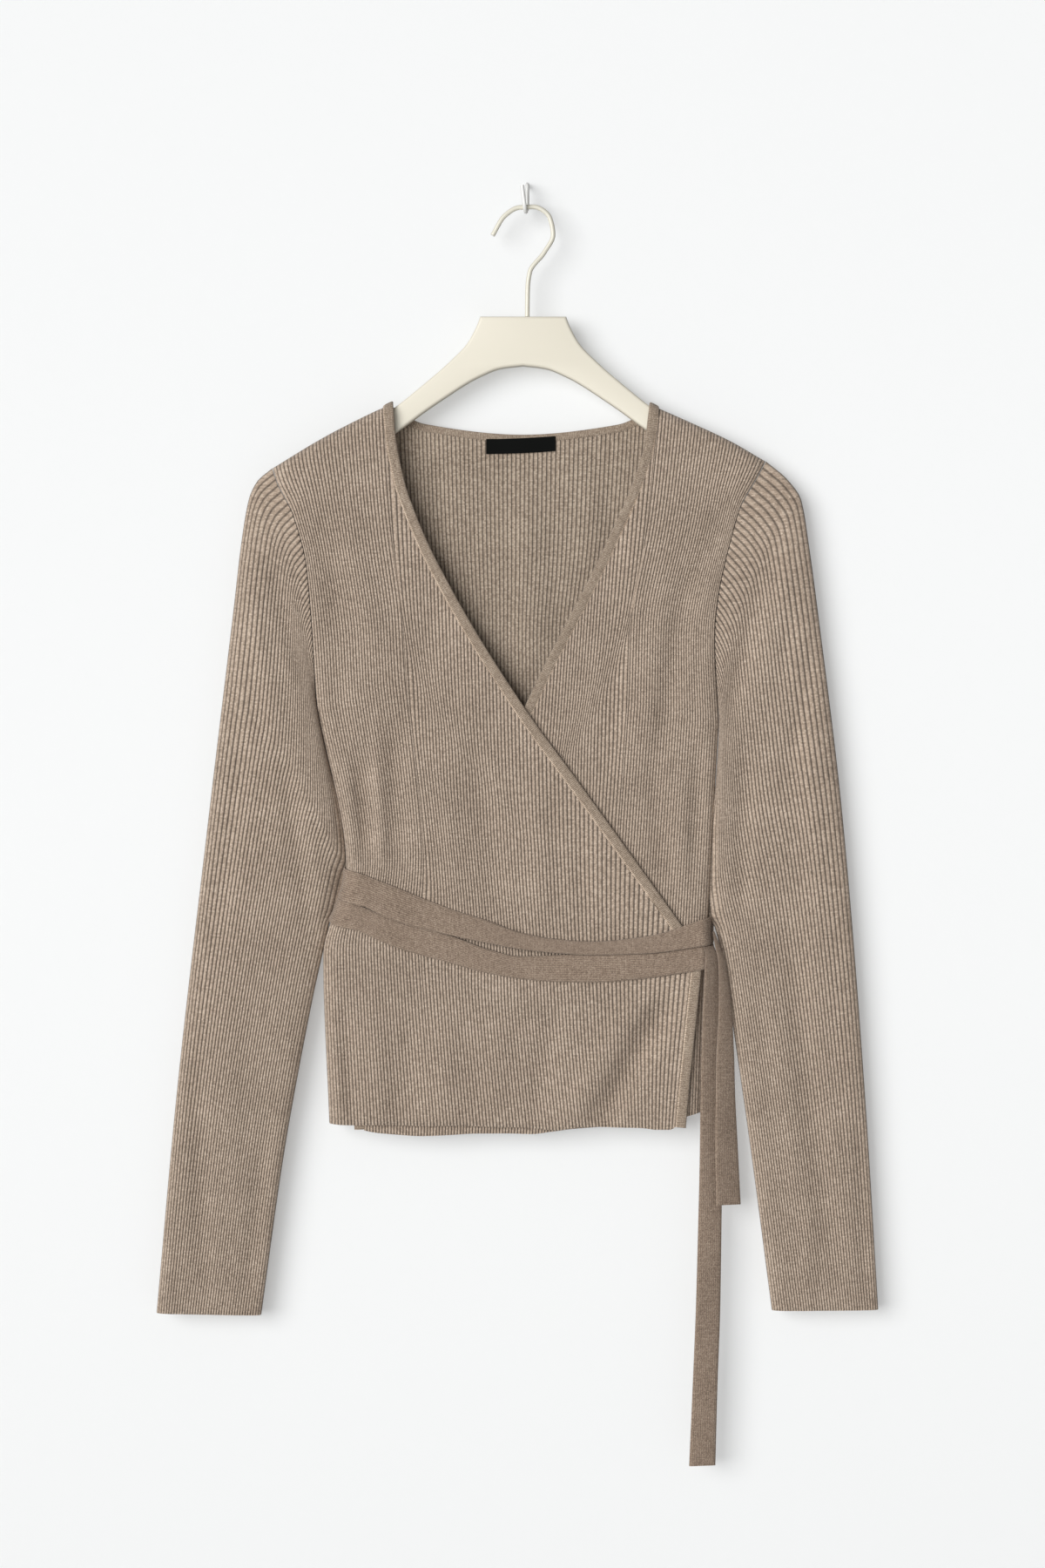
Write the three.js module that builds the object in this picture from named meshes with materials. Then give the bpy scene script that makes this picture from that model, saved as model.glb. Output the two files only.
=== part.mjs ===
// Wrap cardigan in a fine ribbed knit, tied at the waist, hanging flat on a shaped hanger and a wall hook.
// Units are millimetres. X runs to the viewer's right, Y runs into the wall, Z is up.
// The origin is the point where the wall hook leaves the wall. Right and left are the wearer's own.
import * as THREE from 'three';

// Cloth
const KNIT = 1.8;
const RIB_RISE = 0.5;
const SEAM_GAP = 0.3;
const SLEEVE_GAP = 0.7;
const SIDE_ROUND = 12;
const SHOULDER_ROUND = 10;
const SHOULDER_STEP = 3.2;
const ARMHOLE_FULLNESS = 0.85;

// Depths are measured from the plane of the side seams to the inside of each panel.
const MID_Y = -16;
const HALF_GAP = SEAM_GAP / 2;
const BACK_DEPTH = 6.6;
const UNDER_DEPTH = 6.6;
const OVER_DEPTH = 9.8;
const SLEEVE_DEPTH = 4.4;

// Rib counts, from the rib pitch on each piece
const OVER_RIBS = 98;
const UNDER_RIBS = 57;
const UNDER_RIBS_START = 0.44;
const BACK_RIBS = 84;
const SLEEVE_RIBS = 32;
const INNER_STEP = 11;
const INSET_SHARE = 0.1;

// Bands, waist tie and label
const BAND_WIDTH = 7;
const BACK_BAND_WIDTH = 5.4;
const BAND_THICKNESS = 2.1;
const TIE_THICKNESS = 1.8;
const TIE_CLEAR = 0.4;
const TAIL_THICKNESS = 2;
const LABEL = { x: -4.8, z: -192.4, width: 51, height: 11, thickness: 0.6 };

// Hanger and wall hook
const HANGER = { centreX: -3, thickness: 10, edgeRound: 4 };
const HANGER_WIRE = 3.5;
const WALL_WIRE = 3;

// The two outlines of the body from hem to shoulder tip: side seam, then armhole seam
const RIGHT_EDGE = [
  { z: -691, x: -145.5 },
  { z: -570, x: -148 },
  { z: -505, x: -133 },
  { z: -390, x: -154 },
  { z: -285, x: -161.3 },
  { z: -245, x: -171.5 },
  { z: -220, x: -184 },
  { z: -210, x: -187 },
];
const LEFT_EDGE = [
  { z: -682, x: 127.5 },
  { z: -570, x: 130.5 },
  { z: -505, x: 134.5 },
  { z: -400, x: 140.5 },
  { z: -335, x: 137.2 },
  { z: -245, x: 154 },
  { z: -215, x: 169.7 },
  { z: -205, x: 175 },
];
const RIGHT_UNDERARM = -390;
const LEFT_UNDERARM = -400;

// Front edges that end each rib, and the hem position where that rib starts
const OVER_TOP = [
  { hem: -145.5, x: -187, z: -210 },
  { hem: -113, x: -143.5, z: -184 },
  { hem: -77, x: -113, z: -169 },
  { hem: -70, x: -105.5, z: -165.5 },
  { hem: -68.6, x: -105.2, z: -171.5 },
  { hem: -67.2, x: -104, z: -187 },
  { hem: -62.5, x: -94.5, z: -231.5 },
  { hem: -40, x: -66.5, z: -294.5 },
  { hem: 12, x: -8.5, z: -390 },
  { hem: 45, x: 31.5, z: -445 },
  { hem: 80, x: 79.5, z: -511.5 },
  { hem: 101, x: 111, z: -557 },
  { hem: 106.5, x: 118, z: -578 },
];
const OVER_NECK_ROW = 3;
const OVER_FREE_EDGE = [
  { z: -693, x: 106.5 },
  { z: -660, x: 109.5 },
  { z: -578, x: 118 },
];
const OVER_HEM = [
  { x: -145.5, z: -691 },
  { x: -3.5, z: -692 },
  { x: 91, z: -694.5 },
  { x: 106.5, z: -693 },
];
const UNDER_TOP = [
  { hem: -119.5, x: -123, z: -574 },
  { hem: -83, x: -80, z: -511.5 },
  { hem: -28, x: -12.5, z: -420.5 },
  { hem: -2, x: 21, z: -354 },
  { hem: 35, x: 64.5, z: -268 },
  { hem: 51.2, x: 92.5, z: -197 },
  { hem: 52.6, x: 95.8, z: -171.5 },
  { hem: 54, x: 96.5, z: -166 },
  { hem: 71, x: 118, z: -175.5 },
  { hem: 102, x: 149, z: -190 },
  { hem: 127.5, x: 175, z: -205 },
];
const UNDER_NECK_ROW = 7;
const UNDER_FREE_EDGE = [
  { z: -695, x: -119.5 },
  { z: -574, x: -123 },
];
const UNDER_HEM = [
  { x: -119.5, z: -695 },
  { x: -67.5, z: -699.5 },
  { x: 6.5, z: -698 },
  { x: 60.5, z: -692.5 },
  { x: 127.5, z: -682 },
];
const BACK_TOP = [
  { hem: -145.5, x: -187, z: -210 },
  { hem: -112, x: -143.5, z: -184 },
  { hem: -83, x: -105.5, z: -165.5 },
  { hem: -81.2, x: -102.8, z: -168 },
  { hem: -77, x: -95.5, z: -173.5 },
  { hem: -61, x: -76.5, z: -182 },
  { hem: -5, x: -3, z: -190 },
  { hem: 46, x: 67.5, z: -182.5 },
  { hem: 62, x: 88, z: -173.5 },
  { hem: 66.2, x: 93.8, z: -168.5 },
  { hem: 68, x: 96.5, z: -166 },
  { hem: 85, x: 118, z: -175.5 },
  { hem: 108, x: 149, z: -190 },
  { hem: 127.5, x: 175, z: -205 },
];
const BACK_NECK_ROWS = [2, 10];
const BACK_HEM = [
  { x: -145.5, z: -689.5 },
  { x: -3.5, z: -690 },
  { x: 127.5, z: -682 },
];

// Sleeve folds from cuff to armhole. The inner fold lies beside the body, so it passes the waist tie.
const RIGHT_SLEEVE_OUTER = [
  { z: -830, x: -272 },
  { z: -672, x: -257.5 },
  { z: -468, x: -234 },
  { z: -314, x: -215.5 },
  { z: -263, x: -209.5 },
  { z: -232, x: -204 },
  { z: -219.5, x: -198 },
  { z: -210, x: -187 },
];
const RIGHT_SLEEVE_INNER = [
  { z: -831.5, x: -195 },
  { z: -715, x: -178.5 },
  { z: -601, x: -157.5 },
  { z: -569, x: -150.5 },
  { z: -541, x: -143 },
  { z: -505, x: -136.8 },
  { z: -390, x: -154 },
];
const LEFT_SLEEVE_OUTER = [
  { z: -827.5, x: 257.5 },
  { z: -666, x: 247.5 },
  { z: -468, x: 231.5 },
  { z: -314, x: 213 },
  { z: -263, x: 206.5 },
  { z: -230, x: 202 },
  { z: -217, x: 192 },
  { z: -205, x: 175 },
];
const LEFT_SLEEVE_INNER = [
  { z: -828, x: 180 },
  { z: -710, x: 166 },
  { z: -601, x: 150 },
  { z: -569, x: 144.5 },
  { z: -541, x: 138 },
  { z: -505, x: 135.2 },
  { z: -400, x: 140.5 },
];

// Shares of the sleeve's length at which its walls bend, from cuff to armhole
const SLEEVE_ROWS = [0, 0.32, 0.594, 0.74, 0.915, 0.965, 0.985, 1];

// Largest folds: soft troughs pressed into a piece, from one point to another
const FOLDS = [
  { piece: 'right_front', x0: 105, z0: -590, x1: 52, z1: -691, width: 9, depth: 0.9 },
  { piece: 'right_front', x0: -120, z0: -434, x1: -118, z1: -500, width: 8, depth: 0.9 },
  { piece: 'right_sleeve', x0: -187, z0: -280, x1: -162, z1: -372, width: 9, depth: 1.4 },
  { piece: 'right_sleeve', x0: -243, z0: -660, x1: -238, z1: -800, width: 11, depth: 1.2 },
  { piece: 'left_sleeve', x0: 169, z0: -282, x1: 146, z1: -398, width: 9, depth: 1.4 },
  { piece: 'left_sleeve', x0: 190, z0: -560, x1: 222, z1: -790, width: 12, depth: 1 },
];

// Waist tie across the front: upper and lower edge of each stretch
const TIE_UPPER = [
  { x: -133, top: -503, bottom: -523 },
  { x: -96, top: -517.5, bottom: -540.5 },
  { x: -34.5, top: -540, bottom: -557 },
  { x: 6, top: -553, bottom: -563 },
  { x: 47, top: -557, bottom: -565 },
  { x: 88, top: -553, bottom: -564.5 },
  { x: 134, top: -539, bottom: -558.5 },
];
const TIE_LOWER = [
  { x: -138, top: -524, bottom: -542.5 },
  { x: -96, top: -541.5, bottom: -561.5 },
  { x: -34.5, top: -558, bottom: -579.5 },
  { x: 6, top: -564, bottom: -586 },
  { x: 47, top: -566, bottom: -587 },
  { x: 88, top: -565.5, bottom: -584 },
  { x: 134, top: -562, bottom: -577 },
];
const TIE_RIGHT_SIDE = 132.9;
const TIE_SIDE_ROUND = 7;

const TAIL_LONG = [
  { z: -941.5, left: 118.5, right: 138 },
  { z: -826, left: 124, right: 142 },
  { z: -718, left: 127, right: 143.5 },
  { z: -640, left: 131, right: 142.5 },
  { z: -580, left: 135.1, right: 141 },
  { z: -563, left: 135.1, right: 139.5 },
];
const TAIL_SHORT = [
  { z: -750, left: 138, right: 156.5 },
  { z: -669, left: 138, right: 152 },
  { z: -604, left: 139.5, right: 149 },
  { z: -580, left: 138.5, right: 145 },
  { z: -558, left: 136.2, right: 140.5 },
  { z: -545, left: 135.1, right: 138 },
];
const TAIL_LONG_Y = -21.9;
const TAIL_SHORT_Y = -24.3;

// Half outline of the hanger, from the middle of its top to the arm's tip, and back under the arch
const HANGER_TOP = [
  { x: 31.5, z: -99 },
  { x: 34, z: -105.5 },
  { x: 41, z: -118.5 },
  { x: 56, z: -134 },
  { x: 78, z: -154 },
  { x: 93, z: -167 },
  { x: 116, z: -181.5 },
  { x: 143, z: -196.5 },
  { x: 162, z: -209 },
];
const HANGER_TIP = { x: 166, z: -216 };
const HANGER_BOTTOM = [
  { x: 160, z: -222 },
  { x: 135, z: -208 },
  { x: 97, z: -186.5 },
  { x: 66, z: -164.5 },
  { x: 33.5, z: -144 },
  { x: 16, z: -137 },
  { x: 0, z: -135 },
];

// Centre lines of the two bent wires
const HOOK_PATH = [
  { x: 0, z: -98.6 },
  { x: 0.3, z: -78 },
  { x: 2, z: -65.5 },
  { x: 12.5, z: -51.5 },
  { x: 19, z: -38.5 },
  { x: 16, z: -25 },
  { x: 5, z: -18 },
  { x: -6, z: -18.5 },
  { x: -16.5, z: -24.5 },
  { x: -25.5, z: -39 },
];
const WALL_HOOK_PATH = [
  { x: 0, y: 0, z: 0 },
  { x: 0, y: -7, z: 0 },
  { x: 0, y: -11, z: -4 },
  { x: 0, y: -11.3, z: -16 },
  { x: -0.6, y: -13, z: -20.2 },
  { x: -1, y: -16, z: -21.6 },
  { x: -1.6, y: -19, z: -20.2 },
  { x: -2.2, y: -20.9, z: -16 },
  { x: -3.8, y: -21.1, z: -3 },
];

// Colours of the knit, its bands, the label, the hanger and the wires
const COLOUR = { knit: 0x9a8b7b, band: 0x938374, label: 0x25282a, hanger: 0xe8e2d2, wire: 0xe3e1d3 };

const group = new THREE.Group();

function lerp(a, b, t) {
  return a + (b - a) * t;
}

function clamp01(t) {
  return Math.min(1, Math.max(0, t));
}

function smooth(t) {
  const s = clamp01(t);
  return s * s * (3 - 2 * s);
}

// Quarter ellipse: 0 at an edge, 1 from its radius on
function rounded(distance, radius) {
  const t = 1 - clamp01(distance / radius);
  return Math.sqrt(Math.max(0, 1 - t * t));
}

// Value of one named column of a table at a place in another column
function readTable(rows, key, at, column) {
  const rising = rows[rows.length - 1][key] > rows[0][key];
  let k = 0;
  while (k < rows.length - 2 && (rising ? at > rows[k + 1][key] : at < rows[k + 1][key])) {
    k += 1;
  }
  const t = clamp01((at - rows[k][key]) / (rows[k + 1][key] - rows[k][key]));
  return lerp(rows[k][column], rows[k + 1][column], t);
}

function addMesh(name, geometry, color, roughness) {
  const material = new THREE.MeshStandardMaterial({ color, roughness, metalness: 0 });
  const mesh = new THREE.Mesh(geometry, material);
  mesh.name = name;
  group.add(mesh);
}

// Triangles between two lines of points that start and end together, always by the shorter crossing
function joinLines(faces, positions, outer, inner, flip) {
  const offset = (i, j, axis) => positions[3 * i + axis] - positions[3 * j + axis];
  const distance = (i, j) => Math.hypot(offset(i, j, 0), offset(i, j, 1), offset(i, j, 2));
  let a = 0;
  let b = 0;
  while (a < outer.length - 1 || b < inner.length - 1) {
    const canOuter = a < outer.length - 1;
    const canInner = b < inner.length - 1;
    const isShorter = canOuter && canInner
      && distance(outer[a + 1], inner[b]) <= distance(outer[a], inner[b + 1]);
    if (isShorter || !canInner) {
      const face = [outer[a + 1], outer[a], inner[b]];
      faces.push(flip ? face.reverse() : face);
      a += 1;
    } else {
      const face = [inner[b], inner[b + 1], outer[a]];
      faces.push(flip ? face.reverse() : face);
      b += 1;
    }
  }
}

// Closed wall between an outer and an inner grid of points, rows first. A tube's columns go all round.
function wallGeometry(outer, inner, isTube) {
  const positions = [];
  const faces = [];
  const store = (grid) => grid.map((row) => row.map((point) => {
    positions.push(point.x, point.y, point.z);
    return positions.length / 3 - 1;
  }));
  const outerIds = store(outer);
  const innerIds = store(inner);
  if (isTube) {
    outerIds.forEach((row) => row.push(row[0]));
    innerIds.forEach((row) => row.push(row[0]));
  }
  const lastRow = outerIds.length - 1;
  for (let r = 0; r < lastRow; r += 1) {
    const low = outerIds[r];
    const high = outerIds[r + 1];
    for (let c = 0; c < low.length - 1; c += 1) {
      faces.push([low[c], low[c + 1], high[c + 1]], [low[c], high[c + 1], high[c]]);
    }
    const lowIn = innerIds[r];
    const highIn = innerIds[r + 1];
    for (let c = 0; c < lowIn.length - 1; c += 1) {
      faces.push([lowIn[c], highIn[c + 1], lowIn[c + 1]], [lowIn[c], highIn[c], highIn[c + 1]]);
    }
    if (!isTube) {
      const n = low.length - 1;
      const m = lowIn.length - 1;
      faces.push([low[0], high[0], highIn[0]], [low[0], highIn[0], lowIn[0]]);
      faces.push([high[n], low[n], lowIn[m]], [high[n], lowIn[m], highIn[m]]);
    }
  }
  joinLines(faces, positions, outerIds[0], innerIds[0], false);
  joinLines(faces, positions, outerIds[lastRow], innerIds[lastRow], true);
  return facingOut(positions, faces);
}

// Geometry whose faces point out, judged by the volume that they enclose
function facingOut(positions, faces) {
  const point = (i) => new THREE.Vector3(positions[3 * i], positions[3 * i + 1], positions[3 * i + 2]);
  let volume = 0;
  for (const [a, b, c] of faces) {
    volume += point(a).dot(point(b).cross(point(c)));
  }
  const ordered = volume < 0 ? faces.map(([a, b, c]) => [a, c, b]) : faces;
  const geometry = new THREE.BufferGeometry();
  geometry.setAttribute('position', new THREE.Float32BufferAttribute(positions, 3));
  geometry.setIndex(ordered.flat());
  geometry.computeVertexNormals();
  return geometry;
}

// How far the piece's soft troughs press its wall in at a place
function foldDepth(piece, x, z) {
  let total = 0;
  for (const fold of FOLDS.filter((row) => row.piece === piece)) {
    const alongX = fold.x1 - fold.x0;
    const alongZ = fold.z1 - fold.z0;
    const length2 = alongX * alongX + alongZ * alongZ;
    const t = ((x - fold.x0) * alongX + (z - fold.z0) * alongZ) / length2;
    const away = Math.abs((x - fold.x0) * alongZ - (z - fold.z0) * alongX) / Math.sqrt(length2);
    const fade = smooth((t + 0.15) / 0.3) * smooth((1.15 - t) / 0.3);
    total += fold.depth * fade * smooth(1 - away / fold.width);
  }
  return total;
}

// A point in the plane of a piece: straight ribs from the lower to the upper edge, bent to the sides.
// A higher power keeps the bend nearer the sides. The bow curves the ribs between the two sides.
function planPoint(plan, u, v) {
  const low = plan.bottom(u);
  const high = plan.top(u);
  const bend = (side, weight) => {
    const ends = [plan[side](0), plan[side](1)];
    const here = plan[side](v);
    return {
      x: weight * (here.x - lerp(ends[0].x, ends[1].x, v)),
      z: weight * (here.z - lerp(ends[0].z, ends[1].z, v)),
    };
  };
  const power = plan.power + plan.crownPower * smooth((v - 0.7) / 0.3);
  const fromLeft = bend('left', (1 - u) ** power);
  const fromRight = bend('right', u ** power);
  const bow = plan.bow * 16 * u * (1 - u) * v * (1 - v);
  return {
    x: lerp(low.x, high.x, v) + fromLeft.x + fromRight.x + bow,
    z: lerp(low.z, high.z, v) + fromLeft.z + fromRight.z,
  };
}

function edgeByHeight(rows) {
  const first = rows[0].z;
  const last = rows[rows.length - 1].z;
  return (v) => {
    const z = lerp(first, last, v);
    return { x: readTable(rows, 'z', z, 'x'), z };
  };
}

function hemLine(rows) {
  const from = rows[0].x;
  const to = rows[rows.length - 1].x;
  return (u) => {
    const x = lerp(from, to, u);
    return { x, z: readTable(rows, 'x', x, 'z') };
  };
}

function topLine(rows) {
  const from = rows[0].hem;
  const to = rows[rows.length - 1].hem;
  return (u) => {
    const hem = lerp(from, to, u);
    return { x: readTable(rows, 'hem', hem, 'x'), z: readTable(rows, 'hem', hem, 'z') };
  };
}

// Fullness of the armhole at a height: closed at underarm and shoulder tip, open between
function armholeFullness(z, underarm, tip) {
  const w = clamp01((z - underarm) / (tip - underarm));
  return ARMHOLE_FULLNESS * Math.sqrt(4 * w * (1 - w));
}

// Places along the hem of the rows of a top table, so that both walls bend at the same corners
function cornerPlaces(rows) {
  const from = rows[0].hem;
  const to = rows[rows.length - 1].hem;
  return rows.map((row) => (row.hem - from) / (to - from));
}

// Column places for the outer points, two for each rib, and for the plain inside
function ribColumns(count, start, corners) {
  const columns = [];
  const plain = Math.round(start * 12);
  for (let i = 0; i < plain; i += 1) {
    columns.push({ u: (start * i) / plain, sunk: 0 });
  }
  for (let i = 0; i <= count * 2; i += 1) {
    columns.push({ u: lerp(start, 1, i / (count * 2)), sunk: i % 2 === 0 ? RIB_RISE : 0 });
  }
  for (const corner of corners) {
    const nearest = columns.reduce((best, column) => (
      Math.abs(column.u - corner) < Math.abs(best.u - corner) ? column : best
    ));
    nearest.u = corner;
  }
  return columns;
}

function insideColumns(width, roundLeft, roundRight, corners) {
  const places = [...corners];
  const count = Math.round(width / INNER_STEP);
  for (let i = 1; i < count; i += 1) {
    const place = i / count;
    if (corners.every((corner) => Math.abs(corner - place) * width > INNER_STEP / 3)) {
      places.push(place);
    }
  }
  const near = [1.5, 5];
  if (roundLeft) {
    near.forEach((step) => places.push(step / width));
  }
  if (roundRight) {
    near.forEach((step) => places.push(1 - step / width));
  }
  return places.sort((a, b) => a - b).map((u) => ({ u, sunk: 0 }));
}

// Shares of the height where a body panel's wall bends, matched to both side outlines
function panelRows(rows) {
  const first = rows[0].z;
  const last = rows[rows.length - 1].z;
  return rows.slice(0, -2).map((row) => (row.z - first) / (last - SHOULDER_ROUND - first));
}

// One body panel. side is -1 for a front and 1 for the back.
function bodyPanel(spec) {
  const surface = (columns, isInner) => {
    const rows = [];
    const rowCount = spec.rowsLeft.length + 3;
    for (let j = 0; j < rowCount; j += 1) {
      rows.push(columns.map(({ u, sunk }) => panelPoint(spec, u, sunk, j, isInner)));
    }
    return rows;
  };
  const outer = surface(spec.columns, false);
  const inner = surface(insideColumns(spec.width, spec.leftSeam, spec.rightSeam, spec.corners), true);
  return wallGeometry(outer, inner, false);
}

function panelPoint(spec, uPlace, sunk, j, isInner) {
  const inset = isInner ? KNIT / spec.width : 0;
  const insetLeft = spec.leftSeam ? inset * clamp01(1 - uPlace / INSET_SHARE) : 0;
  const insetRight = spec.rightSeam ? inset * clamp01(1 - (1 - uPlace) / INSET_SHARE) : 0;
  const u = uPlace + insetLeft - insetRight;
  const height = spec.plan.top(u).z - spec.plan.bottom(u).z;
  const crown = 1 - (isInner ? (KNIT * spec.shoulder(u)) / height : 0);
  const body = spec.rowsLeft.length;
  let v = crown;
  if (j < body) {
    v = lerp(spec.rowsLeft[j], spec.rowsRight[j], u) * (crown - SHOULDER_ROUND / height);
  } else if (j < body + 2) {
    v = crown - (j === body ? SHOULDER_ROUND : SHOULDER_STEP) / height;
  }
  const place = planPoint(spec.plan, u, v);
  let full = 1;
  if (spec.leftSeam) {
    const edge = planPoint(spec.plan, isInner ? inset : 0, v);
    const open = armholeFullness(edge.z, RIGHT_UNDERARM, RIGHT_EDGE[RIGHT_EDGE.length - 1].z);
    full *= lerp(open, 1, rounded(place.x - edge.x, SIDE_ROUND));
  }
  if (spec.rightSeam) {
    const edge = planPoint(spec.plan, isInner ? 1 - inset : 1, v);
    const open = armholeFullness(edge.z, LEFT_UNDERARM, LEFT_EDGE[LEFT_EDGE.length - 1].z);
    full *= lerp(open, 1, rounded(edge.x - place.x, SIDE_ROUND));
  }
  full *= lerp(1, rounded((crown - v) * height, SHOULDER_ROUND), spec.shoulder(u));
  const thickness = isInner ? 0 : KNIT - sunk;
  const pressed = foldDepth(spec.name, place.x, place.z);
  const depth = HALF_GAP + (spec.depth + thickness - HALF_GAP) * full - pressed;
  return new THREE.Vector3(place.x, MID_Y + spec.side * Math.max(depth, HALF_GAP), place.z);
}

// Share of the shoulder's rounding: 1 under the shoulder seam, 0 from the next row of the neck on
function shoulderShare(rows, neckRow, step) {
  const places = cornerPlaces(rows);
  const neck = places[neckRow];
  const below = places[neckRow + step];
  return (u) => clamp01((u - below) / (neck - below));
}

function bodyPlan(left, right, hemRows, topRows, bow) {
  return { left, right, bottom: hemLine(hemRows), top: topLine(topRows), power: 3, crownPower: 9, bow };
}

function buildBody() {
  const rightRows = panelRows(RIGHT_EDGE);
  const leftRows = panelRows(LEFT_EDGE);
  const right = edgeByHeight(RIGHT_EDGE);
  const left = edgeByHeight(LEFT_EDGE);
  const over = {
    name: 'right_front', side: -1, depth: OVER_DEPTH, width: 252,
    plan: bodyPlan(right, edgeByHeight(OVER_FREE_EDGE), OVER_HEM, OVER_TOP, -4),
    rowsLeft: rightRows, rowsRight: rightRows, leftSeam: true, rightSeam: false,
    shoulder: shoulderShare(OVER_TOP, OVER_NECK_ROW, 1), corners: cornerPlaces(OVER_TOP),
    columns: ribColumns(OVER_RIBS, 0, cornerPlaces(OVER_TOP)),
  };
  const under = {
    name: 'left_front', side: -1, depth: UNDER_DEPTH, width: 247,
    plan: bodyPlan(edgeByHeight(UNDER_FREE_EDGE), left, UNDER_HEM, UNDER_TOP, 0),
    rowsLeft: leftRows, rowsRight: leftRows, leftSeam: false, rightSeam: true,
    shoulder: shoulderShare(UNDER_TOP, UNDER_NECK_ROW, -1), corners: cornerPlaces(UNDER_TOP),
    columns: ribColumns(UNDER_RIBS, UNDER_RIBS_START, cornerPlaces(UNDER_TOP)),
  };
  const beforeNeck = shoulderShare(BACK_TOP, BACK_NECK_ROWS[0], 1);
  const afterNeck = shoulderShare(BACK_TOP, BACK_NECK_ROWS[1], -1);
  const back = {
    name: 'back', side: 1, depth: BACK_DEPTH, width: 273,
    plan: bodyPlan(right, left, BACK_HEM, BACK_TOP, 0),
    rowsLeft: rightRows, rowsRight: leftRows, leftSeam: true, rightSeam: true,
    shoulder: (u) => Math.max(beforeNeck(u), afterNeck(u)), corners: cornerPlaces(BACK_TOP),
    columns: ribColumns(BACK_RIBS, 0, cornerPlaces(BACK_TOP)),
  };
  for (const panel of [over, under, back]) {
    addMesh(panel.name, bodyPanel(panel), COLOUR.knit, 0.95);
  }
}

// Sleeve: a flattened tube from the armhole seam to the open cuff
function sleevePoint(spec, uPlace, isFront, sunk, v, isInner) {
  const outerFold = planPoint(spec.plan, 0, v);
  const innerFold = planPoint(spec.plan, 1, v);
  const across = Math.hypot(innerFold.x - outerFold.x, innerFold.z - outerFold.z);
  const inset = isInner ? KNIT / across : 0;
  const u = lerp(inset, 1 - inset, uPlace);
  const place = planPoint(spec.plan, u, v);
  const toFold = Math.min(uPlace, 1 - uPlace) * Math.abs(innerFold.x - outerFold.x) * (1 - 2 * inset);
  const tubeFull = rounded(toFold, SIDE_ROUND);
  const seamFull = ARMHOLE_FULLNESS * Math.sqrt(4 * uPlace * (1 - uPlace));
  const nearSeam = smooth((v - 0.86) / 0.14);
  const full = lerp(tubeFull, seamFull, nearSeam);
  const depthAtSeam = isFront ? spec.frontDepth : BACK_DEPTH;
  const depth = lerp(SLEEVE_DEPTH, depthAtSeam, smooth(v)) + (isInner ? 0 : KNIT - sunk);
  const pressed = isFront ? foldDepth(spec.name, place.x, place.z) * tubeFull * (1 - nearSeam) : 0;
  const y = MID_Y + (isFront ? -1 : 1) * (depth * full - pressed);
  const gap = spec.outward * SLEEVE_GAP * lerp(0.9, 1, u);
  return new THREE.Vector3(place.x + gap, y, place.z);
}

function sleeveColumns(count, isRibbed) {
  const columns = [];
  for (let i = 0; i < count * 2; i += 1) {
    const isFront = i < count;
    const t = isFront ? i / count : 2 - i / count;
    const u = isRibbed ? t : 0.5 - 0.5 * Math.cos(Math.PI * t);
    columns.push({ u, isFront, sunk: i % 2 === 0 ? RIB_RISE : 0 });
  }
  return columns;
}

function buildSleeve(spec) {
  const grid = (columns, isInner) => SLEEVE_ROWS.map((v) => (
    columns.map(({ u, isFront, sunk }) => sleevePoint(spec, u, isFront, isInner ? 0 : sunk, v, isInner))
  ));
  const outer = grid(sleeveColumns(SLEEVE_RIBS * 2, true), false);
  const inner = grid(sleeveColumns(12, false), true);
  addMesh(spec.name, wallGeometry(outer, inner, true), COLOUR.knit, 0.95);
}

function sleevePlan(outerRows, innerRows, seamRows, underarm) {
  const tip = seamRows[seamRows.length - 1].z;
  const cuffFrom = outerRows[0];
  const cuffTo = innerRows[0];
  return {
    power: 1,
    crownPower: 0,
    bow: 0,
    left: edgeByHeight(outerRows),
    right: edgeByHeight(innerRows),
    bottom: (u) => ({ x: lerp(cuffFrom.x, cuffTo.x, u), z: lerp(cuffFrom.z, cuffTo.z, u) }),
    top: (u) => {
      const z = lerp(tip, underarm, u);
      return { x: readTable(seamRows, 'z', z, 'x'), z };
    },
  };
}

// A narrow strip along a line: section points at each station, closed at both ends
function stripGeometry(sections) {
  const positions = [];
  const faces = [];
  for (const section of sections) {
    section.forEach((point) => positions.push(point.x, point.y, point.z));
  }
  const n = sections[0].length;
  for (let s = 0; s < sections.length - 1; s += 1) {
    for (let k = 0; k < n; k += 1) {
      const a = s * n + k;
      const b = s * n + ((k + 1) % n);
      faces.push([a, b, b + n], [a, b + n, a + n]);
    }
  }
  const last = (sections.length - 1) * n;
  for (let k = 1; k < n - 1; k += 1) {
    faces.push([0, k + 1, k], [last, last + k, last + k + 1]);
  }
  return facingOut(positions, faces);
}

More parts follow.
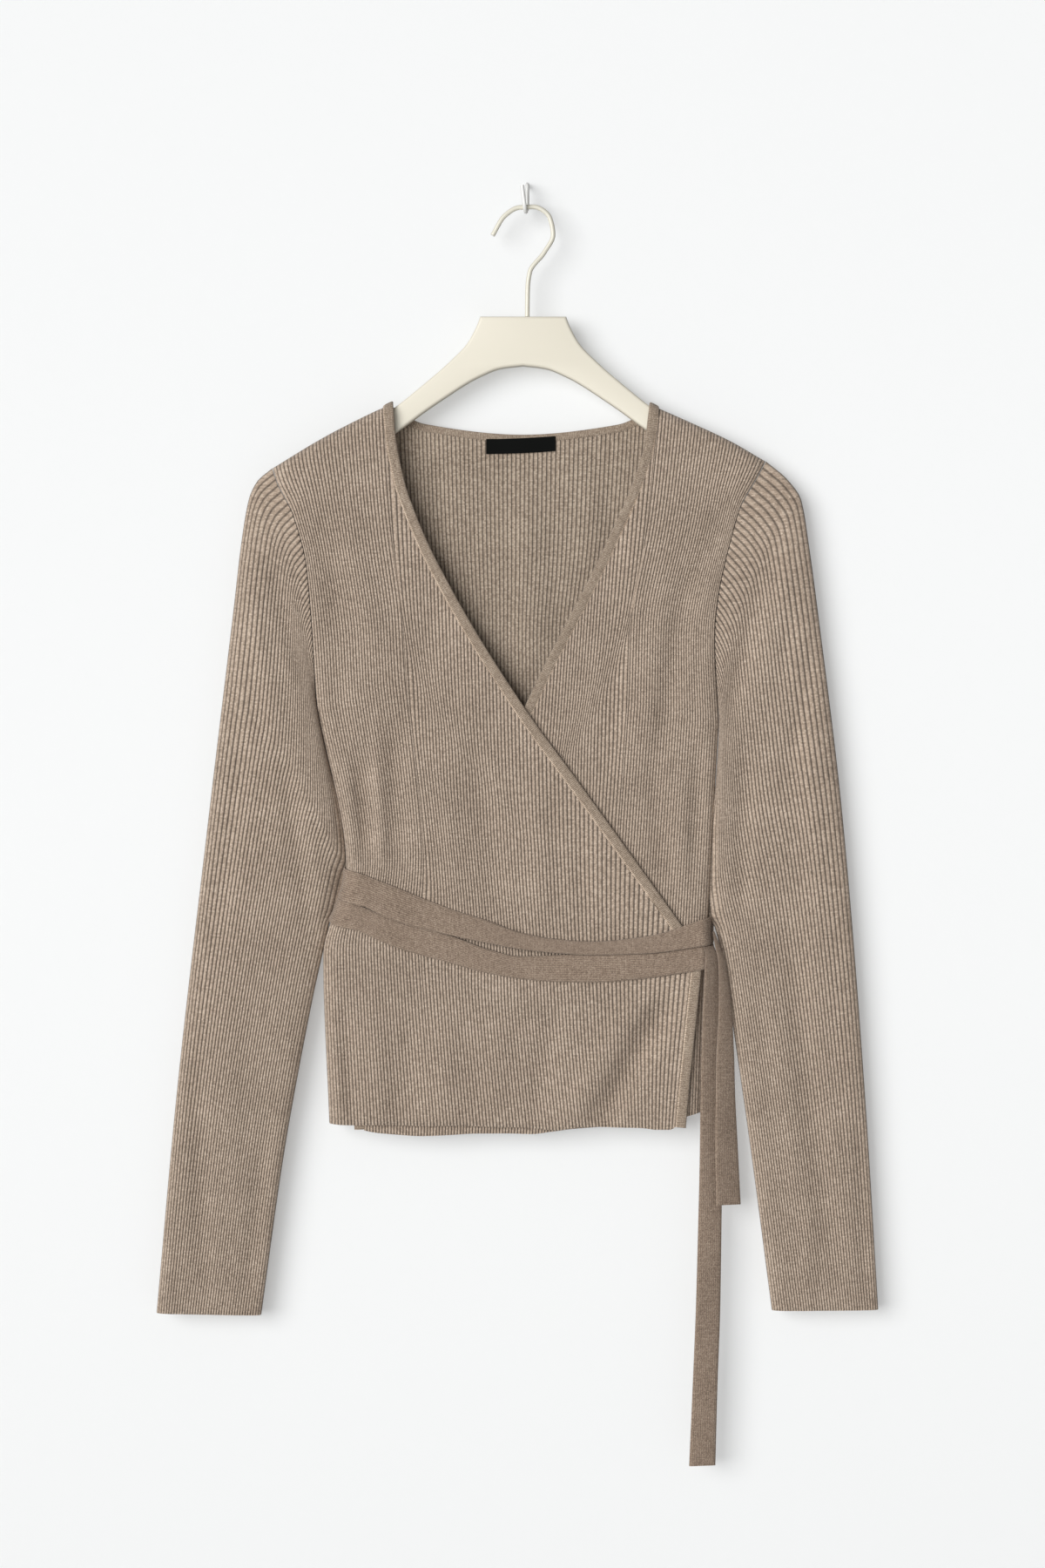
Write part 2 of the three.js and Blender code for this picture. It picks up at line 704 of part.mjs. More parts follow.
// Band along a seam line, on the side given by turn, arched over the shoulder at the ends that ask for it
function bandSections(line, spec) {
  const sections = [];
  line.forEach((point, i) => {
    const before = line[Math.max(0, i - 1)];
    const after = line[Math.min(line.length - 1, i + 1)];
    const length = Math.hypot(after.x - before.x, after.z - before.z);
    let nx = (spec.turn * -(after.z - before.z)) / length;
    let nz = (spec.turn * (after.x - before.x)) / length;
    if (point.normal) {
      [nx, nz] = point.normal;
    }
    const corner = (offset, isOuter) => {
      const arch = point.arch === undefined ? Math.PI / 2 : point.arch;
      const depth = spec.depth + (isOuter ? BAND_THICKNESS : 0);
      const y = MID_Y + spec.side * (HALF_GAP + (depth - HALF_GAP) * Math.sin(arch));
      const drop = isOuter || !point.along ? 0 : BAND_THICKNESS * Math.cos(arch);
      const along = point.along || [0, 0];
      const x = point.x + nx * offset + along[0] * drop;
      const z = point.z + nz * offset + along[1] * drop;
      return new THREE.Vector3(x, y, z);
    };
    sections.push([
      corner(SEAM_GAP, true), corner(spec.width, true), corner(spec.width, false), corner(SEAM_GAP, false),
    ]);
  });
  return sections;
}

// Stations that climb from full depth to the shoulder seam at a neck point
function neckArch(neck, below, normal) {
  const length = Math.hypot(below.x - neck.x, below.z - neck.z);
  const along = [(below.x - neck.x) / length, (below.z - neck.z) / length];
  const square = [Math.sign(normal[0]) * Math.abs(along[1]), Math.abs(along[0])];
  return [0, 30, 60].map((degrees) => {
    const arch = (degrees * Math.PI) / 180;
    const t = 1 - Math.cos(arch);
    const blend = [lerp(square[0], normal[0], 1 - t), lerp(square[1], normal[1], 1 - t)];
    return { x: lerp(neck.x, below.x, t), z: lerp(neck.z, below.z, t), arch, normal: blend, along };
  });
}

function buildBands() {
  const overLine = [
    ...neckArch(OVER_TOP[OVER_NECK_ROW], OVER_TOP[OVER_NECK_ROW + 1], [0.92, 0.39]),
    ...OVER_TOP.slice(OVER_NECK_ROW + 1),
    ...OVER_FREE_EDGE.slice(0, -1).reverse(),
  ];
  const over = { depth: OVER_DEPTH, side: -1, width: BAND_WIDTH, turn: 1 };
  addMesh('right_front_band', stripGeometry(bandSections(overLine, over)), COLOUR.band, 0.9);

  const underLine = [
    ...neckArch(UNDER_TOP[UNDER_NECK_ROW], UNDER_TOP[UNDER_NECK_ROW - 1], [-0.92, 0.39]),
    ...UNDER_TOP.slice(0, UNDER_NECK_ROW).reverse(),
    UNDER_FREE_EDGE[0],
  ];
  const under = { depth: UNDER_DEPTH, side: -1, width: BAND_WIDTH, turn: -1 };
  addMesh('left_front_band', stripGeometry(bandSections(underLine, under)), COLOUR.band, 0.9);

  const [firstNeck, lastNeck] = BACK_NECK_ROWS;
  const backLine = [
    ...neckArch(BACK_TOP[firstNeck], BACK_TOP[firstNeck + 1], [0.92, 0.39]),
    ...BACK_TOP.slice(firstNeck + 1, lastNeck),
    ...neckArch(BACK_TOP[lastNeck], BACK_TOP[lastNeck - 1], [-0.92, 0.39]).reverse(),
  ];
  const back = { depth: BACK_DEPTH, side: 1, width: BACK_BAND_WIDTH, turn: 1 };
  addMesh('back_neck_band', stripGeometry(bandSections(backLine, back)), COLOUR.band, 0.9);
}

function buildLabel() {
  const geometry = new THREE.BoxGeometry(LABEL.width, LABEL.thickness, LABEL.height);
  const backInside = MID_Y + BACK_DEPTH;
  geometry.translate(LABEL.x, backInside - SEAM_GAP - LABEL.thickness / 2, LABEL.z);
  addMesh('label', geometry, COLOUR.label, 0.7);
}

// One stretch of the tie: flat across the body and turned round both side edges
function buildTie(name, rows, isFront) {
  const side = isFront ? -1 : 1;
  const flatDepth = isFront ? OVER_DEPTH + KNIT : BACK_DEPTH + KNIT;
  const leftEnd = rows[0].x;
  const rightEnd = rows[rows.length - 1].x;
  const heightAt = (x, column) => {
    if (isFront) {
      return readTable(rows, 'x', x, column);
    }
    const t = (x - leftEnd) / (rightEnd - leftEnd);
    return lerp(rows[0][column], rows[rows.length - 1][column], t);
  };
  const corner = (station, column, isOuter) => {
    const off = TIE_CLEAR + (isOuter ? TIE_THICKNESS : 0);
    const z = heightAt(station.x, column);
    const depth = (flatDepth + off) * Math.sin(station.turn);
    let x = station.x;
    if (station.end === 'left') {
      const edge = readTable(RIGHT_EDGE, 'z', z, 'x');
      x = edge - off + (SIDE_ROUND + off) * (1 - Math.cos(station.turn));
    } else if (station.end === 'right') {
      x = TIE_RIGHT_SIDE + off - TIE_CLEAR - (TIE_SIDE_ROUND + off) * (1 - Math.cos(station.turn));
    }
    return new THREE.Vector3(x, MID_Y + side * (HALF_GAP + depth), z);
  };
  const stations = [];
  const turns = [0, 20, 40, 60, 78];
  turns.forEach((degrees) => {
    stations.push({ end: 'left', turn: (degrees * Math.PI) / 180, x: leftEnd + degrees / 8 });
  });
  for (let i = 0; i <= 9; i += 1) {
    const x = lerp(leftEnd + SIDE_ROUND + 3, rightEnd - TIE_SIDE_ROUND - 2, i / 9);
    stations.push({ end: 'none', turn: Math.PI / 2, x });
  }
  turns.reverse().forEach((degrees) => {
    stations.push({ end: 'right', turn: (degrees * Math.PI) / 180, x: rightEnd - degrees / 14 });
  });
  const sections = stations.map((station) => [
    corner(station, 'top', true), corner(station, 'top', false),
    corner(station, 'bottom', false), corner(station, 'bottom', true),
  ]);
  addMesh(name, stripGeometry(sections), COLOUR.band, 0.9);
}

function buildTail(name, rows, frontY) {
  const backY = frontY + TAIL_THICKNESS;
  const sections = rows.map(({ z, left, right }) => [
    new THREE.Vector3(left, frontY, z), new THREE.Vector3(right, frontY, z),
    new THREE.Vector3(right, backY, z), new THREE.Vector3(left, backY, z),
  ]);
  addMesh(name, stripGeometry(sections), COLOUR.band, 0.9);
}

function buildHangerBody() {
  const half = [...HANGER_TOP, HANGER_TIP, ...HANGER_BOTTOM];
  const round = HANGER.edgeRound;
  const outline = [
    ...half.map(({ x, z }) => new THREE.Vector2(HANGER.centreX + x, z)),
    ...half.slice(0, -1).reverse().map(({ x, z }) => new THREE.Vector2(HANGER.centreX - x, z)),
  ];
  const geometry = new THREE.ExtrudeGeometry(new THREE.Shape(outline), {
    depth: HANGER.thickness - 2 * round,
    bevelEnabled: true,
    bevelThickness: round,
    bevelSize: round,
    bevelOffset: -round,
    bevelSegments: 3,
  });
  geometry.translate(0, 0, -(HANGER.thickness - 2 * round) / 2);
  geometry.rotateX(Math.PI / 2);
  geometry.translate(0, MID_Y, 0);
  addMesh('hanger_body', geometry, COLOUR.hanger, 0.5);
}

// Round wire along a smooth path
function wireGeometry(points, diameter, steps, sides) {
  const section = new THREE.Shape();
  for (let i = 0; i < sides; i += 1) {
    const angle = (2 * Math.PI * i) / sides;
    const method = i === 0 ? 'moveTo' : 'lineTo';
    section[method]((diameter / 2) * Math.cos(angle), (diameter / 2) * Math.sin(angle));
  }
  section.closePath();
  const path = new THREE.CatmullRomCurve3(points.map(({ x, y, z }) => new THREE.Vector3(x, y, z)));
  return new THREE.ExtrudeGeometry(section, { steps, extrudePath: path, bevelEnabled: false });
}

buildBody();
buildSleeve({
  name: 'right_sleeve', outward: -1, frontDepth: OVER_DEPTH,
  plan: sleevePlan(RIGHT_SLEEVE_OUTER, RIGHT_SLEEVE_INNER, RIGHT_EDGE, RIGHT_UNDERARM),
});
buildSleeve({
  name: 'left_sleeve', outward: 1, frontDepth: UNDER_DEPTH,
  plan: sleevePlan(LEFT_SLEEVE_OUTER, LEFT_SLEEVE_INNER, LEFT_EDGE, LEFT_UNDERARM),
});
buildBands();
buildLabel();
buildTie('tie_upper_front', TIE_UPPER, true);
buildTie('tie_lower_front', TIE_LOWER, true);
buildTie('tie_upper_back', TIE_UPPER, false);
buildTie('tie_lower_back', TIE_LOWER, false);
buildTail('tie_tail_long', TAIL_LONG, TAIL_LONG_Y);
buildTail('tie_tail_short', TAIL_SHORT, TAIL_SHORT_Y);
buildHangerBody();
const hookPoints = HOOK_PATH.map(({ x, z }) => ({ x, y: MID_Y, z }));
addMesh('hanger_hook', wireGeometry(hookPoints, HANGER_WIRE, 26, 8), COLOUR.wire, 0.35);
addMesh('wall_hook', wireGeometry(WALL_HOOK_PATH, WALL_WIRE, 18, 8), COLOUR.wire, 0.35);

export default group;
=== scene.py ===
"""Look of a wrap cardigan in a fine ribbed knit, tied at the waist, on a hanger and a wall hook.

Lengths are millimetres in the garment's own frame until a mesh is made: X runs to the viewer's right, Y into the
wall and Z up, from the point where the wall hook leaves the wall. Right and left are the wearer's own.
"""

import logging
import math
from dataclasses import dataclass
from enum import Enum
from typing import Any, Callable, NamedTuple, Sequence

import bpy
import numpy as np
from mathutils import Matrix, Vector


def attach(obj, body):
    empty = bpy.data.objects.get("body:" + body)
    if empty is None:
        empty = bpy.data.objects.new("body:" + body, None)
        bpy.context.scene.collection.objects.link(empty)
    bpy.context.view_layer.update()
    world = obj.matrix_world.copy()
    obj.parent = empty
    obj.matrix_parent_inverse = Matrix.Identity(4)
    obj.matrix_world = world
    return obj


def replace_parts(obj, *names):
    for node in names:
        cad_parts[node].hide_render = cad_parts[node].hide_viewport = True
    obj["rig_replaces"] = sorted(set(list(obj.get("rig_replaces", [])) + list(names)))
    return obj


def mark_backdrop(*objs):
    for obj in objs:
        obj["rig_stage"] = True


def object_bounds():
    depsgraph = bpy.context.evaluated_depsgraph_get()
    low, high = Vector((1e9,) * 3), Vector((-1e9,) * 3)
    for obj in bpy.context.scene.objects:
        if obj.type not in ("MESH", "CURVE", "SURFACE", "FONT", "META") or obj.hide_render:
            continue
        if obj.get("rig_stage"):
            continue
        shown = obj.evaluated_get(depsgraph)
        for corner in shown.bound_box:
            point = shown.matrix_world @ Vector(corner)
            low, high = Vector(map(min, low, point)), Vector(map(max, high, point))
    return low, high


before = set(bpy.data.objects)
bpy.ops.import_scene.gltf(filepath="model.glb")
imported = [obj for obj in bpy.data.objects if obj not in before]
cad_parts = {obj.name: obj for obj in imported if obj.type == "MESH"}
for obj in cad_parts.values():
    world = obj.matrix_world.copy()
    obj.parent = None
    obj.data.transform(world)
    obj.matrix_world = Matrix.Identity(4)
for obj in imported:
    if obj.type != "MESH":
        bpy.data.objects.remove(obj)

FIRST_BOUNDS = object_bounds()

log = logging.getLogger("wrap_cardigan")

MM = 0.001

# The knit's wall and how high its ribs stand on it, in millimetres as all lengths below
KNIT = 1.8
RIB_RISE = 0.7
# Half the gap between the front and the back of the garment, and the gap along the armhole seam
HALF_GAP = 0.08
SLEEVE_GAP = 0.45
# The plane between front and back, and how far each cloth stands off it
MID_Y = -16
BACK_DEPTH = 6.6
UNDER_DEPTH = 6.6
OVER_DEPTH = 9.8
SLEEVE_DEPTH = 4.4
# How widely the cloth turns over at the side and at the shoulder, and how full an armhole stands
SIDE_ROUND = 12
SHOULDER_ROUND = 10
ARMHOLE_FULLNESS = 0.85
# Distances below a shoulder line at which a panel's wall bends over it
SHOULDER_STEPS = (8.4, 6.9, 5.5, 4.2, 3.1, 2.1, 1.3, 0.6, 0.2, 0)
# How far the ribs' tops hang below their grooves at a hem, and the share of the height that this takes
SCALLOP = 0.4
SCALLOP_SHARE = 0.008
RIGHT_UNDERARM = -390
LEFT_UNDERARM = -400
# Share of a crease's length over which it fades at each end
FOLD_FADE = 0.4


class Spot(NamedTuple):
    """A point in the garment's plane."""

    x: float
    z: float


class TopRow(NamedTuple):
    """The upper end of a rib, and the hem position where that rib starts."""

    hem: float
    x: float
    z: float


class Fold(NamedTuple):
    """A soft trough from one point to another; a depth below 0 makes it a ridge."""

    x0: float
    z0: float
    x1: float
    z1: float
    width: float
    depth: float


class TieRow(NamedTuple):
    """Upper and lower edge of a waist tie at a place, and how far each edge stands off the cloth."""

    x: float
    top: float
    bottom: float
    top_off: float
    bottom_off: float


class TailRow(NamedTuple):
    """Both edges of a tie's tail at a height, how far each stands forward, and the rise of its lengthwise crease."""

    z: float
    left: float
    right: float
    left_out: float
    right_out: float
    crease: float


class Side(Enum):
    """The half of the garment that a panel belongs to, as the sign of its depth."""

    FRONT = -1
    BACK = 1


class Lamp(Enum):
    """The kinds of light in the studio."""

    SUN = "SUN"
    AREA = "AREA"


Point = tuple[float, float, float]
Values = float | np.ndarray

# The body's sides from the hem up to the shoulder's tip; the row that turns sharply is the underarm
RIGHT_EDGE = (
    Spot(-145.5, -691), Spot(-150, -568), Spot(-133, -505), Spot(-154, -390), Spot(-161.3, -285),
    Spot(-171.5, -245), Spot(-184, -220), Spot(-187, -210),
)
LEFT_EDGE = (
    Spot(127.5, -682), Spot(131.3, -570), Spot(134.5, -505), Spot(140.5, -400), Spot(137.2, -335),
    Spot(154, -245), Spot(169.7, -215), Spot(175, -205),
)
UNDERARM_ROW = 3

# The over front: the upper ends of its ribs, its free edge and its hem
OVER_TOP = (
    TopRow(-145.5, -187, -210), TopRow(-113, -151, -188.3), TopRow(-77, -113, -168.8),
    TopRow(-70, -105.5, -165.5), TopRow(-68.6, -105.2, -171.5), TopRow(-67.2, -104, -187),
    TopRow(-62.5, -94.5, -231.5), TopRow(-40, -66.5, -294.5), TopRow(12, -8.5, -390), TopRow(45, 31.5, -445),
    TopRow(80, 79.5, -511.5), TopRow(102, 112, -557), TopRow(108.5, 120, -578),
)
OVER_NECK_ROW = 3
OVER_FREE_EDGE = (Spot(108.5, -693), Spot(111.5, -660), Spot(120, -578))
OVER_HEM = (
    Spot(-145.5, -690.6), Spot(-128, -691.4), Spot(-104, -691.1), Spot(-78, -691.9), Spot(-52, -691.5),
    Spot(-28, -692.3), Spot(-3.5, -692.9), Spot(22, -694.8), Spot(40, -692.6), Spot(62, -692.9),
    Spot(83, -693.3), Spot(95, -694.6), Spot(104, -694.6), Spot(107, -693.6), Spot(108.5, -691.8),
)
# The under front
UNDER_TOP = (
    TopRow(-119.5, -123, -574), TopRow(-83, -80, -511.5), TopRow(-28, -12.5, -420.5), TopRow(-2, 21, -354),
    TopRow(35, 64.5, -268), TopRow(51.2, 92.5, -197), TopRow(52.6, 95.8, -171.5), TopRow(54, 96.5, -166),
    TopRow(71, 115, -174.2), TopRow(102, 148, -189.6), TopRow(127.5, 175, -205),
)
UNDER_NECK_ROW = 7
UNDER_FREE_EDGE = (Spot(-119.5, -695), Spot(-123, -574))
UNDER_HEM = (
    Spot(-119.5, -695.4), Spot(-111, -697.1), Spot(-98, -698.3), Spot(-78, -699.5), Spot(-58, -698.8),
    Spot(-38, -697.7), Spot(-14, -697.6), Spot(3, -698.1), Spot(18, -696.3), Spot(34, -694.2),
    Spot(60.5, -692.5), Spot(94, -688.6), Spot(112, -686.2), Spot(127.5, -682.4),
)
# The back, with the two rows at which its neck meets the shoulders
BACK_TOP = (
    TopRow(-145.5, -187, -210), TopRow(-112, -143.5, -184), TopRow(-83, -105.5, -165.5),
    TopRow(-81.2, -102.8, -168), TopRow(-77, -95.5, -173.5), TopRow(-61, -76.5, -182), TopRow(-5, -3, -190),
    TopRow(46, 67.5, -182.5), TopRow(62, 88, -173.5), TopRow(66.2, 93.8, -168.5), TopRow(68, 96.5, -166),
    TopRow(85, 118, -175.5), TopRow(108, 149, -190), TopRow(127.5, 175, -205),
)
BACK_NECK_ROWS = (2, 10)
BACK_HEM = (Spot(-145.5, -689.5), Spot(-3.5, -690), Spot(127.5, -682))

# The sleeves' outer and inner folds from the cuff up
RIGHT_SLEEVE_OUTER = (
    Spot(-272, -830), Spot(-257.5, -672), Spot(-234, -468), Spot(-215.5, -314), Spot(-209.5, -263),
    Spot(-204, -232), Spot(-198, -219.5), Spot(-187, -210),
)
RIGHT_SLEEVE_INNER = (
    Spot(-195, -831.5), Spot(-178.5, -715), Spot(-157.5, -601), Spot(-150.5, -569), Spot(-143.6, -538),
    Spot(-137.6, -512), Spot(-133.6, -500), Spot(-136.7, -470), Spot(-154, -390),
)
LEFT_SLEEVE_OUTER = (
    Spot(257.5, -827.5), Spot(247.5, -666), Spot(231.5, -468), Spot(213, -314), Spot(206.5, -266),
    Spot(200.8, -233), Spot(190.5, -218), Spot(175, -205),
)
LEFT_SLEEVE_INNER = (
    Spot(179.2, -828), Spot(163.6, -710), Spot(147.8, -601), Spot(142.8, -569), Spot(136.6, -542),
    Spot(134.4, -521), Spot(134.7, -504), Spot(140.5, -400),
)

# Creases of the over front that press the under front in with them
DEEP_FOLDS = (
    Fold(104, -600, 54, -690, 16, 6.2), Fold(-121, -424, -117, -498, 12, 5.2),
    Fold(-98, -404, -94, -500, 15, 3.0), Fold(-150, -256, -126, -352, 17, 2.6),
    Fold(-84, -616, -92, -690, 17, 2.2), Fold(20, -612, 4, -690, 15, 2.0), Fold(-36, -430, -22, -532, 17, 2.2),
    Fold(-134, -606, -128, -690, 10, 2.4), Fold(-62, -300, -92, -410, 22, 2.0),
)
# Each piece's own creases and ridges
FOLDS: dict[str, tuple[Fold, ...]] = {
    "right_front": (
        *DEEP_FOLDS,
        Fold(-128, -487, -34, -520, 13, -1.9), Fold(-34, -520, 47, -540, 12, -1.6),
        Fold(47, -540, 104, -531, 10, -1.2), Fold(-138, -524, -34, -559, 14, 0.9),
        Fold(-34, -559, 47, -567, 14, 0.8), Fold(47, -567, 112, -560, 12, 0.8),
        Fold(-138, -560, -34, -599, 14, -1.6), Fold(-34, -599, 47, -606, 15, -1.5),
        Fold(47, -606, 108, -600, 12, -1.1), Fold(78, -604, 28, -690, 15, -2.4),
        Fold(-108, -414, -106, -500, 9, -1.6), Fold(-60, -448, -50, -528, 14, -1.7),
        Fold(6, -450, 12, -536, 15, -1.8), Fold(40, -478, 42, -540, 12, 1.5),
        Fold(-112, -606, -108, -690, 14, -1.6), Fold(-58, -612, -62, -692, 16, -1.6),
        Fold(-18, -616, -26, -692, 13, -1.2), Fold(-132, -250, -108, -340, 14, -1.4),
        Fold(-144, -300, -136, -410, 12, 1.6), Fold(-30, -360, -60, -430, 18, -1.3),
    ),
    "left_front": (
        *DEEP_FOLDS,
        Fold(118, -290, 98, -420, 13, 2.6), Fold(100, -300, 84, -410, 13, -1.6),
        Fold(126, -420, 124, -500, 9, 2.6), Fold(92, -430, 100, -508, 12, 2.4),
        Fold(112, -440, 114, -520, 9, -1.7), Fold(70, -330, 58, -430, 15, 2.0),
        Fold(148, -240, 118, -300, 13, 1.9), Fold(134, -300, 130, -400, 9, -1.2),
        Fold(80, -236, 76, -300, 16, -1.2), Fold(-60, -640, -62, -698, 14, -0.8),
        Fold(0, -650, -4, -698, 12, 0.7),
    ),
    "back": (
        Fold(-110, -240, -122, -400, 18, 2.6), Fold(-64, -210, -70, -330, 15, -1.7),
        Fold(0, -230, 4, -360, 22, 2.2), Fold(60, -220, 66, -350, 16, -1.9),
        Fold(112, -250, 116, -420, 17, 2.7), Fold(-96, -420, -90, -505, 13, 2.8),
        Fold(-40, -430, -36, -515, 16, -1.8), Fold(22, -420, 26, -515, 14, 2.4),
        Fold(84, -430, 80, -510, 12, 2.0), Fold(-104, -590, -110, -688, 14, 2.6),
        Fold(-52, -596, -50, -688, 17, -1.8), Fold(6, -592, 12, -688, 14, 2.3),
        Fold(64, -594, 56, -686, 15, 2.7), Fold(104, -596, 108, -684, 13, -1.6),
    ),
    "right_sleeve": (
        Fold(-189, -270, -160, -370, 12, 3.8), Fold(-206, -290, -184, -400, 13, -1.9),
        Fold(-243, -640, -236, -806, 13, 2.7), Fold(-222, -600, -212, -760, 15, -1.7),
        Fold(-178, -420, -160, -545, 12, 2.6), Fold(-212, -430, -230, -560, 15, 2.2),
        Fold(-190, -690, -205, -826, 11, 2.0), Fold(-262, -740, -264, -826, 8, -1.2),
        Fold(-226, -340, -208, -440, 12, 1.6),
    ),
    "left_sleeve": (
        Fold(171, -280, 146, -396, 12, 4.0), Fold(193, -268, 172, -372, 13, -1.8),
        Fold(192, -560, 224, -790, 14, 2.5), Fold(160, -420, 156, -540, 12, 2.6),
        Fold(205, -420, 216, -600, 15, -1.7), Fold(180, -600, 198, -740, 12, -1.6),
        Fold(244, -690, 248, -822, 10, 2.0), Fold(206, -750, 204, -826, 10, -1.3),
        Fold(214, -330, 190, -440, 13, 1.9),
    ),
}

# The tie: its two stretches across the front, then its two tails
TIE_UPPER = (
    TieRow(-133, -503, -524.5, 0.0, 1.9), TieRow(-96, -517.5, -542, 0.0, 2.1),
    TieRow(-54, -534, -553, 0.1, 2.3), TieRow(-30, -541.5, -558, 0.2, 2.4),
    TieRow(-5, -550.5, -562.8, 0.4, 2.5), TieRow(19, -555, -565.4, 0.6, 2.5), TieRow(47, -557, -567, 0.7, 2.3),
    TieRow(88, -553, -566, 0.4, 2.3), TieRow(134, -539, -559.5, 0.0, 2.9),
)
TIE_LOWER = (
    TieRow(-138, -524, -542.5, 0.0, 0.0), TieRow(-96, -541.5, -561.5, 0.0, 0.0),
    TieRow(-54, -553.6, -573.5, 0.1, 0.1), TieRow(-30, -562.3, -580, 0.3, 0.3),
    TieRow(-5, -567.9, -584.4, 0.3, 0.5), TieRow(19, -567.2, -586.4, 0.2, 0.5),
    TieRow(47, -565.8, -587, 0.1, 0.3), TieRow(88, -564.8, -584, 0.0, 0.1), TieRow(134, -559, -577, 0.0, 0.0),
)
TAIL_LONG = (
    TailRow(-941.5, 118.5, 138, 3.2, -0.4, 0.2), TailRow(-880, 121.3, 139.6, 2.4, 0.4, 0.5),
    TailRow(-826, 123.4, 141.6, 4.2, -0.4, 0.3), TailRow(-770, 125.0, 142.4, 3.4, 0.2, 0.8),
    TailRow(-718, 126.2, 143.0, 4.4, -0.6, 0.6), TailRow(-683, 126.6, 142.6, 4.8, -0.8, 0.6),
    TailRow(-645, 127.3, 142.0, 5.4, -0.8, 0.6), TailRow(-615, 128.0, 141.8, 6.2, -0.4, 0.6),
    TailRow(-586, 129.3, 141.4, 8.0, 0.6, 0.5), TailRow(-570, 130.0, 140.2, 8.6, 1.6, 0.4),
    TailRow(-560.4, 130.4, 136.6, 6.6, 2.2, 0.2),
)
TAIL_SHORT = (
    TailRow(-750, 138, 156.5, 5.4, -1.6, 0.3), TailRow(-705, 137.4, 154.2, 5.8, -1.8, 0.6),
    TailRow(-669, 137.7, 152.4, 5.2, -1.6, 0.7), TailRow(-640, 138.2, 151.6, 4.6, -1.4, 0.8),
    TailRow(-604, 140.0, 149.6, 4.2, -1.2, 0.8), TailRow(-586, 140.1, 147.3, 3.8, -0.8, 0.7),
    TailRow(-572, 139.6, 144.8, 3.2, -0.4, 0.5), TailRow(-560, 137.2, 141.0, 2.0, -0.2, 0.4),
    TailRow(-550, 135.8, 137.2, 0.6, 0.0, 0.2),
)

# Half the hanger's outline: over the arm, round its tip and back under the arch
HANGER_TOP = (
    Spot(31.5, -99), Spot(34, -105.5), Spot(41, -118.5), Spot(56, -134), Spot(78, -152.8), Spot(93, -164.8),
    Spot(116, -180.5), Spot(143, -196.5), Spot(162, -209),
)
HANGER_TIP = Spot(166, -216)
HANGER_BOTTOM = (
    Spot(160, -222), Spot(135, -208), Spot(97, -186.5), Spot(66, -164.5), Spot(33.5, -144), Spot(16, -137),
    Spot(0, -135),
)
# Middles of the two wires
HOOK_PATH = (
    (0.0, MID_Y, -98.6), (0.3, MID_Y, -78.0), (2.0, MID_Y, -65.5), (12.5, MID_Y, -51.5), (19.0, MID_Y, -38.5),
    (16.0, MID_Y, -25.0), (5.0, MID_Y, -18.0), (-6.0, MID_Y, -18.5), (-16.5, MID_Y, -24.5), (-25.5, MID_Y, -39.0),
)
WALL_HOOK_PATH = (
    (0.0, 0.0, 0.0), (0.0, -7.0, 0.0), (0.0, -11.0, -4.0), (0.0, -11.3, -16.0), (-0.6, -13.0, -20.2),
    (-1.0, -16.0, -21.6), (-1.6, -19.0, -20.2), (-2.2, -20.9, -16.0), (-3.8, -21.1, -3.0),
)


def lerp(a: Values, b: Values, t: Values) -> Values:
    """Mixes two values or arrays.

    Args:
        a: value at t = 0.
        b: value at t = 1.
        t: share of b.

    Returns:
        The mixed value.
    """
    return a + (b - a) * t


def smooth(t: Values) -> Values:
    """Eases a share from 0 to 1.

    Args:
        t: a share, clamped to 0 to 1.

    Returns:
        The eased share.
    """
    s = np.clip(t, 0, 1)
    return s * s * (3 - 2 * s)


def rounded(distance: Values, radius: Values) -> Values:
    """Rises from 0 at an edge to 1 from its radius on, along a quarter circle.

    Args:
        distance: distance from the edge.
        radius: the rounding's radius.

    Returns:
        The share of the full depth.
    """
    t = 1 - np.clip(distance / radius, 0, 1)
    return np.sqrt(np.maximum(0, 1 - t * t))


def linear_colour(hex_code: int) -> tuple[float, float, float, float]:
    """Turns an sRGB hex colour into the linear colour that a shader takes.

    Args:
        hex_code: the colour as 0xRRGGBB.

    Returns:
        Linear red, green, blue and alpha.
    """
    channels = [((hex_code >> shift) & 255) / 255 for shift in (16, 8, 0)]
    linear = [c / 12.92 if c <= 0.04045 else ((c + 0.055) / 1.055) ** 2.4 for c in channels]
    return (*linear, 1.0)


